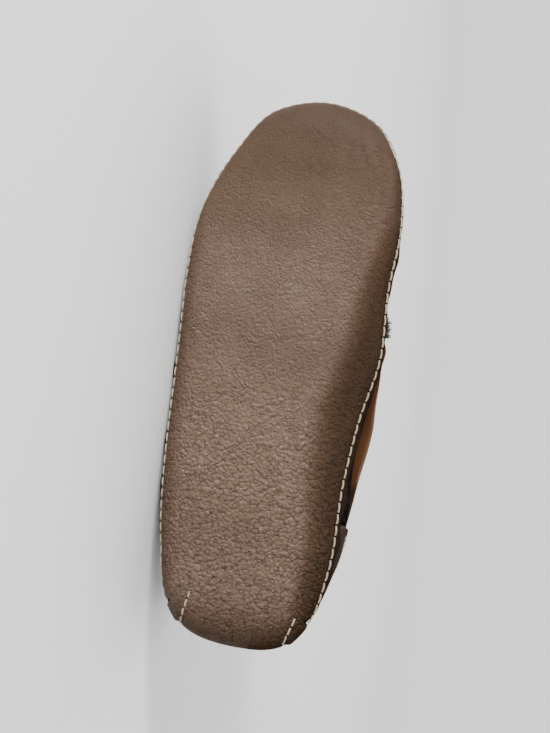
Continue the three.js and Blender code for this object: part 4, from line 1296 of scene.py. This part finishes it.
dull_leather = finish("counter_leather", counter_colour,
                      {"Roughness": sole_roughness, "Specular IOR Level": 0.0}, counter_bump)
counter.data.materials.append(dull_leather)
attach(counter, "root")
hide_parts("counter")
FINE_PITCH = 3.3
THREAD_INSETS = {"counter_stitches_top": 3.0, "counter_stitches_second": 5.6}
FINE_THREAD = {**CORD_SIZES, "Stitch Length": 2.7 * MM, "Thread Radius": 0.00032,
               "Arch": 0.35 * MM, "Sunk Ends": 0.2 * MM, "Slant": 0.0}
clear_of_ends = slice(6, -6)
edge_places, edge_low, edge_high = (
    values[clear_of_ends] for values in (counter_places, counter_low, counter_high))
edge_span = np.linalg.norm(wall(edge_places, edge_high) - wall(edge_places, edge_low), axis=1)
for row, inset in THREAD_INSETS.items():
    edge_share = edge_high - (edge_high - edge_low) * inset / edge_span
    thread_line = wall_point(edge_places, edge_share, COUNTER["gap"] + COUNTER["thickness"])
    sew(row, thread_line, wall_normal(edge_places, edge_share), FINE_PITCH, FINE_THREAD)

# Welt
# A thin black strip laid on the upper just over the sole's lip, from one front edge of the counter round
# the toe to the other. Its two tails beside the counter are taller.
# The strip is partly a real dark piece, its tails, and partly a dark sheet standing in for the shade in the
# crevice over the lip
WELT = {"height": 3.4, "tail_height": 11.0, "tail_end": 0.37, "start": 0.002,
        "lift": 1.2, "thickness": 0.8, "edge": 0.8}
WELT_COLUMNS = 620
WELT_ROWS = np.array([0, 0.06, 0.14, 0.25, 0.4, 0.55, 0.7, 0.82, 0.92, 1])
welt_start = COUNTER["front"] + WELT["start"]
welt_inner = place_along(welt_start, PLACE["notchMedial"], PLACE["toeTip"])
welt_outer = place_along(welt_start, PLACE["toeTip"], PLACE["notchLateral"])
welt_places = np.linspace(welt_inner, welt_outer, WELT_COLUMNS)
tail_share = WELT["tail_end"] - column("along", welt_places, False)
tail = smooth(tail_share / (WELT["tail_end"] - COUNTER["front"]))
welt_height = WELT["height"] + (WELT["tail_height"] - WELT["height"]) * tail
welt = overlay("welt_strip", welt_places, rim_top(welt_places, WELT["lift"]),
               rim_top(welt_places, WELT["lift"] + welt_height),
               SEAT_GAP, WELT["thickness"], WELT_ROWS, WELT["edge"])
WELT_BLACK = (0.005, 0.005, 0.0055)
WELT_WORN = (0.016, 0.016, 0.018)


def welt_colour(tree, where):
    return blended(tree, ramp(tree, noise(tree, where, 260, 4, 0.65), 0.45, 0.75), WELT_BLACK, WELT_WORN)


def welt_bump(tree, where):
    return times(tree, noise(tree, where, 1300, 3), 0.00025)


black_strip = finish("welt_strip", welt_colour, {"Roughness": 0.85, "Specular IOR Level": 0.0}, welt_bump)
welt.data.materials.append(black_strip)
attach(welt, "root")
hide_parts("welt")

# Collar trim
# A soft roll of black pile sewn on the edge of the collar all the way round.
TRIM_HALF_WIDTH = 4.0
TRIM_HEIGHT = 6.0
TRIM_COLUMNS = 460
TRIM_SIDES = 30
TRIM_NAP = ((0.4, 9, 41), (0.25, 4.5, 42))
trim_places = loop_places(TRIM_COLUMNS)
trim_edge = wall_point(trim_places, 1.0, -WALL / 2)
trim_out = wall_normal(trim_places, 1.0)
trim_up = wall(trim_places, 1.0) - wall(trim_places, 0.96)
trim_up = trim_up / np.linalg.norm(trim_up, axis=1, keepdims=True)
trim_skin = Skin()
trim_rings = []
for angle in np.arange(TRIM_SIDES) * 2 * np.pi / TRIM_SIDES:
    lift = SEAT_GAP + TRIM_HEIGHT / 2 * (1 - np.cos(angle))
    points = trim_edge + trim_out * TRIM_HALF_WIDTH * np.sin(angle) + trim_up * lift
    trim_rings.append(trim_skin.ring(points))
trim_skin.tube(trim_rings, closed=True)
trim = trim_skin.piece("collar_trim_roll")
trim_points = np.concatenate(trim_skin.points)
nap = sum(height * waves(trim_points, length, seed) for height, length, seed in TRIM_NAP)
raise_surface(trim, nap - NAP_SUNK)
trim.data.materials.append(black_pile)
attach(trim, "root")
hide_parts("collar_trim")
grow_pile("collar_trim_nap", trim_skin, {
    "Density": 560000.0, "Length": 0.0034, "Root Radius": 0.00026,
    "Curl": 0.0018, "Lean": 0.75, "Seed": 9})

# Studio
# A pale floor that sweeps up all round, soft lights and the camera on the side of the sole.
FLOOR_RADIUS = 1.5
SWEEP_RADIUS = 0.9
WALL_HEIGHT = 1.6
SWEEP_SIDES = 96
FLOOR_PALE = (0.88, 0.88, 0.875)


def studio_sweep():
    """Floor, curved sweep and wall as one surface of revolution."""
    profile = [(0.4, 0.0), (0.9, 0.0), (FLOOR_RADIUS, 0.0)]
    for angle in np.radians(np.linspace(6, 90, 15)):
        profile.append((FLOOR_RADIUS + SWEEP_RADIUS * np.sin(angle), SWEEP_RADIUS * (1 - np.cos(angle))))
    profile.append((FLOOR_RADIUS + SWEEP_RADIUS, SWEEP_RADIUS + WALL_HEIGHT))
    turns = np.linspace(0, 2 * np.pi, SWEEP_SIDES, endpoint=False)
    points = [(r * np.cos(t), r * np.sin(t), z) for r, z in profile for t in turns]
    faces = [tuple(range(SWEEP_SIDES))]
    for low in range(0, len(points) - SWEEP_SIDES, SWEEP_SIDES):
        high = low + SWEEP_SIDES
        for i in range(SWEEP_SIDES):
            j = (i + 1) % SWEEP_SIDES
            faces.append((high + i, high + j, low + j, low + i))
    mesh = bpy.data.meshes.new("floor")
    mesh.from_pydata(points, [], faces)
    mesh.polygons.foreach_set("use_smooth", np.ones(len(mesh.polygons), bool))
    made = bpy.data.objects.new("floor", mesh)
    bpy.context.scene.collection.objects.link(made)
    return made


floor = studio_sweep()


def floor_colour(tree, where):
    paper = add(tree, "ShaderNodeRGB", {}).outputs[0]
    paper.default_value = (*FLOOR_PALE, 1.0)
    return paper


def floor_bump(tree, where):
    return times(tree, noise(tree, where, 900, 2), 0.00003)


floor_paper = finish("floor_paper", floor_colour, {"Roughness": 0.9, "Specular IOR Level": 0.1}, floor_bump)
floor.data.materials.append(floor_paper)
world = bpy.data.worlds.new("studio")
world.use_nodes = True
world.node_tree.nodes["Background"].inputs["Color"].default_value = (0.9, 0.91, 0.92, 1)
world.node_tree.nodes["Background"].inputs["Strength"].default_value = 0.20
bpy.context.scene.world = world
shoe_middle = (cad_box[0] + cad_box[1]) / 2


def soft_light(name, place, size, power):
    """A square soft light at a place, aimed at the middle of the shoe."""
    lamp = bpy.data.lights.new(name, "AREA")
    lamp.size = size
    lamp.energy = power
    made = bpy.data.objects.new(name, lamp)
    made.location = place
    made.rotation_mode = "QUATERNION"
    made.rotation_quaternion = (shoe_middle - Vector(place)).to_track_quat("-Z", "Y")
    made.visible_camera = False
    bpy.context.scene.collection.objects.link(made)


soft_light("key", (-1.6, -1.15, 0.5), 0.4, 100)
soft_light("front", (0.4, -1.5, 0.5), 1.0, 4)
soft_light("top", (0.1, 0.8, 1.6), 1.6, 24)

# Camera: aimed at the middle of the sole, a little from the inner side and the heel, and rolled as the
# shoe leans in the picture
VIEW_CENTRE = np.array([142.0, 0.0, 0.0])
VIEW_DISTANCE = 450.0
VIEW_TILT = {"heel": -4.91, "inner": 7.78, "roll": -8.94}
PICTURE_HEIGHT = 733
PHOTO_FOCAL = 702
ENLARGED = 1.3
SENSOR = 36.0
looking = np.array([[0.0, 1.0, 0.0], [1.0, 0.0, 0.0], [0.0, 0.0, -1.0]])
tilts = (
    Matrix.Rotation(np.radians(VIEW_TILT["roll"]), 3, "Z"),
    Matrix.Rotation(np.radians(VIEW_TILT["heel"]), 3, "X"),
    Matrix.Rotation(-np.radians(VIEW_TILT["inner"]), 3, "Y"),
)
camera_axes = turn_over(np.array(tilts[0] @ tilts[1] @ tilts[2]) @ looking)
camera_data = bpy.data.cameras.new("camera")
camera_data.sensor_width = SENSOR
camera_data.lens = SENSOR * PHOTO_FOCAL * ENLARGED / PICTURE_HEIGHT
camera_data.clip_start = 0.01
camera = bpy.data.objects.new("camera", camera_data)
camera_place = lay_down(VIEW_CENTRE) + MM * VIEW_DISTANCE * camera_axes[2]
camera.matrix_world = Matrix.Translation(camera_place) @ Matrix(camera_axes.T.tolist()).to_4x4()
bpy.context.scene.collection.objects.link(camera)
bpy.context.scene.camera = camera
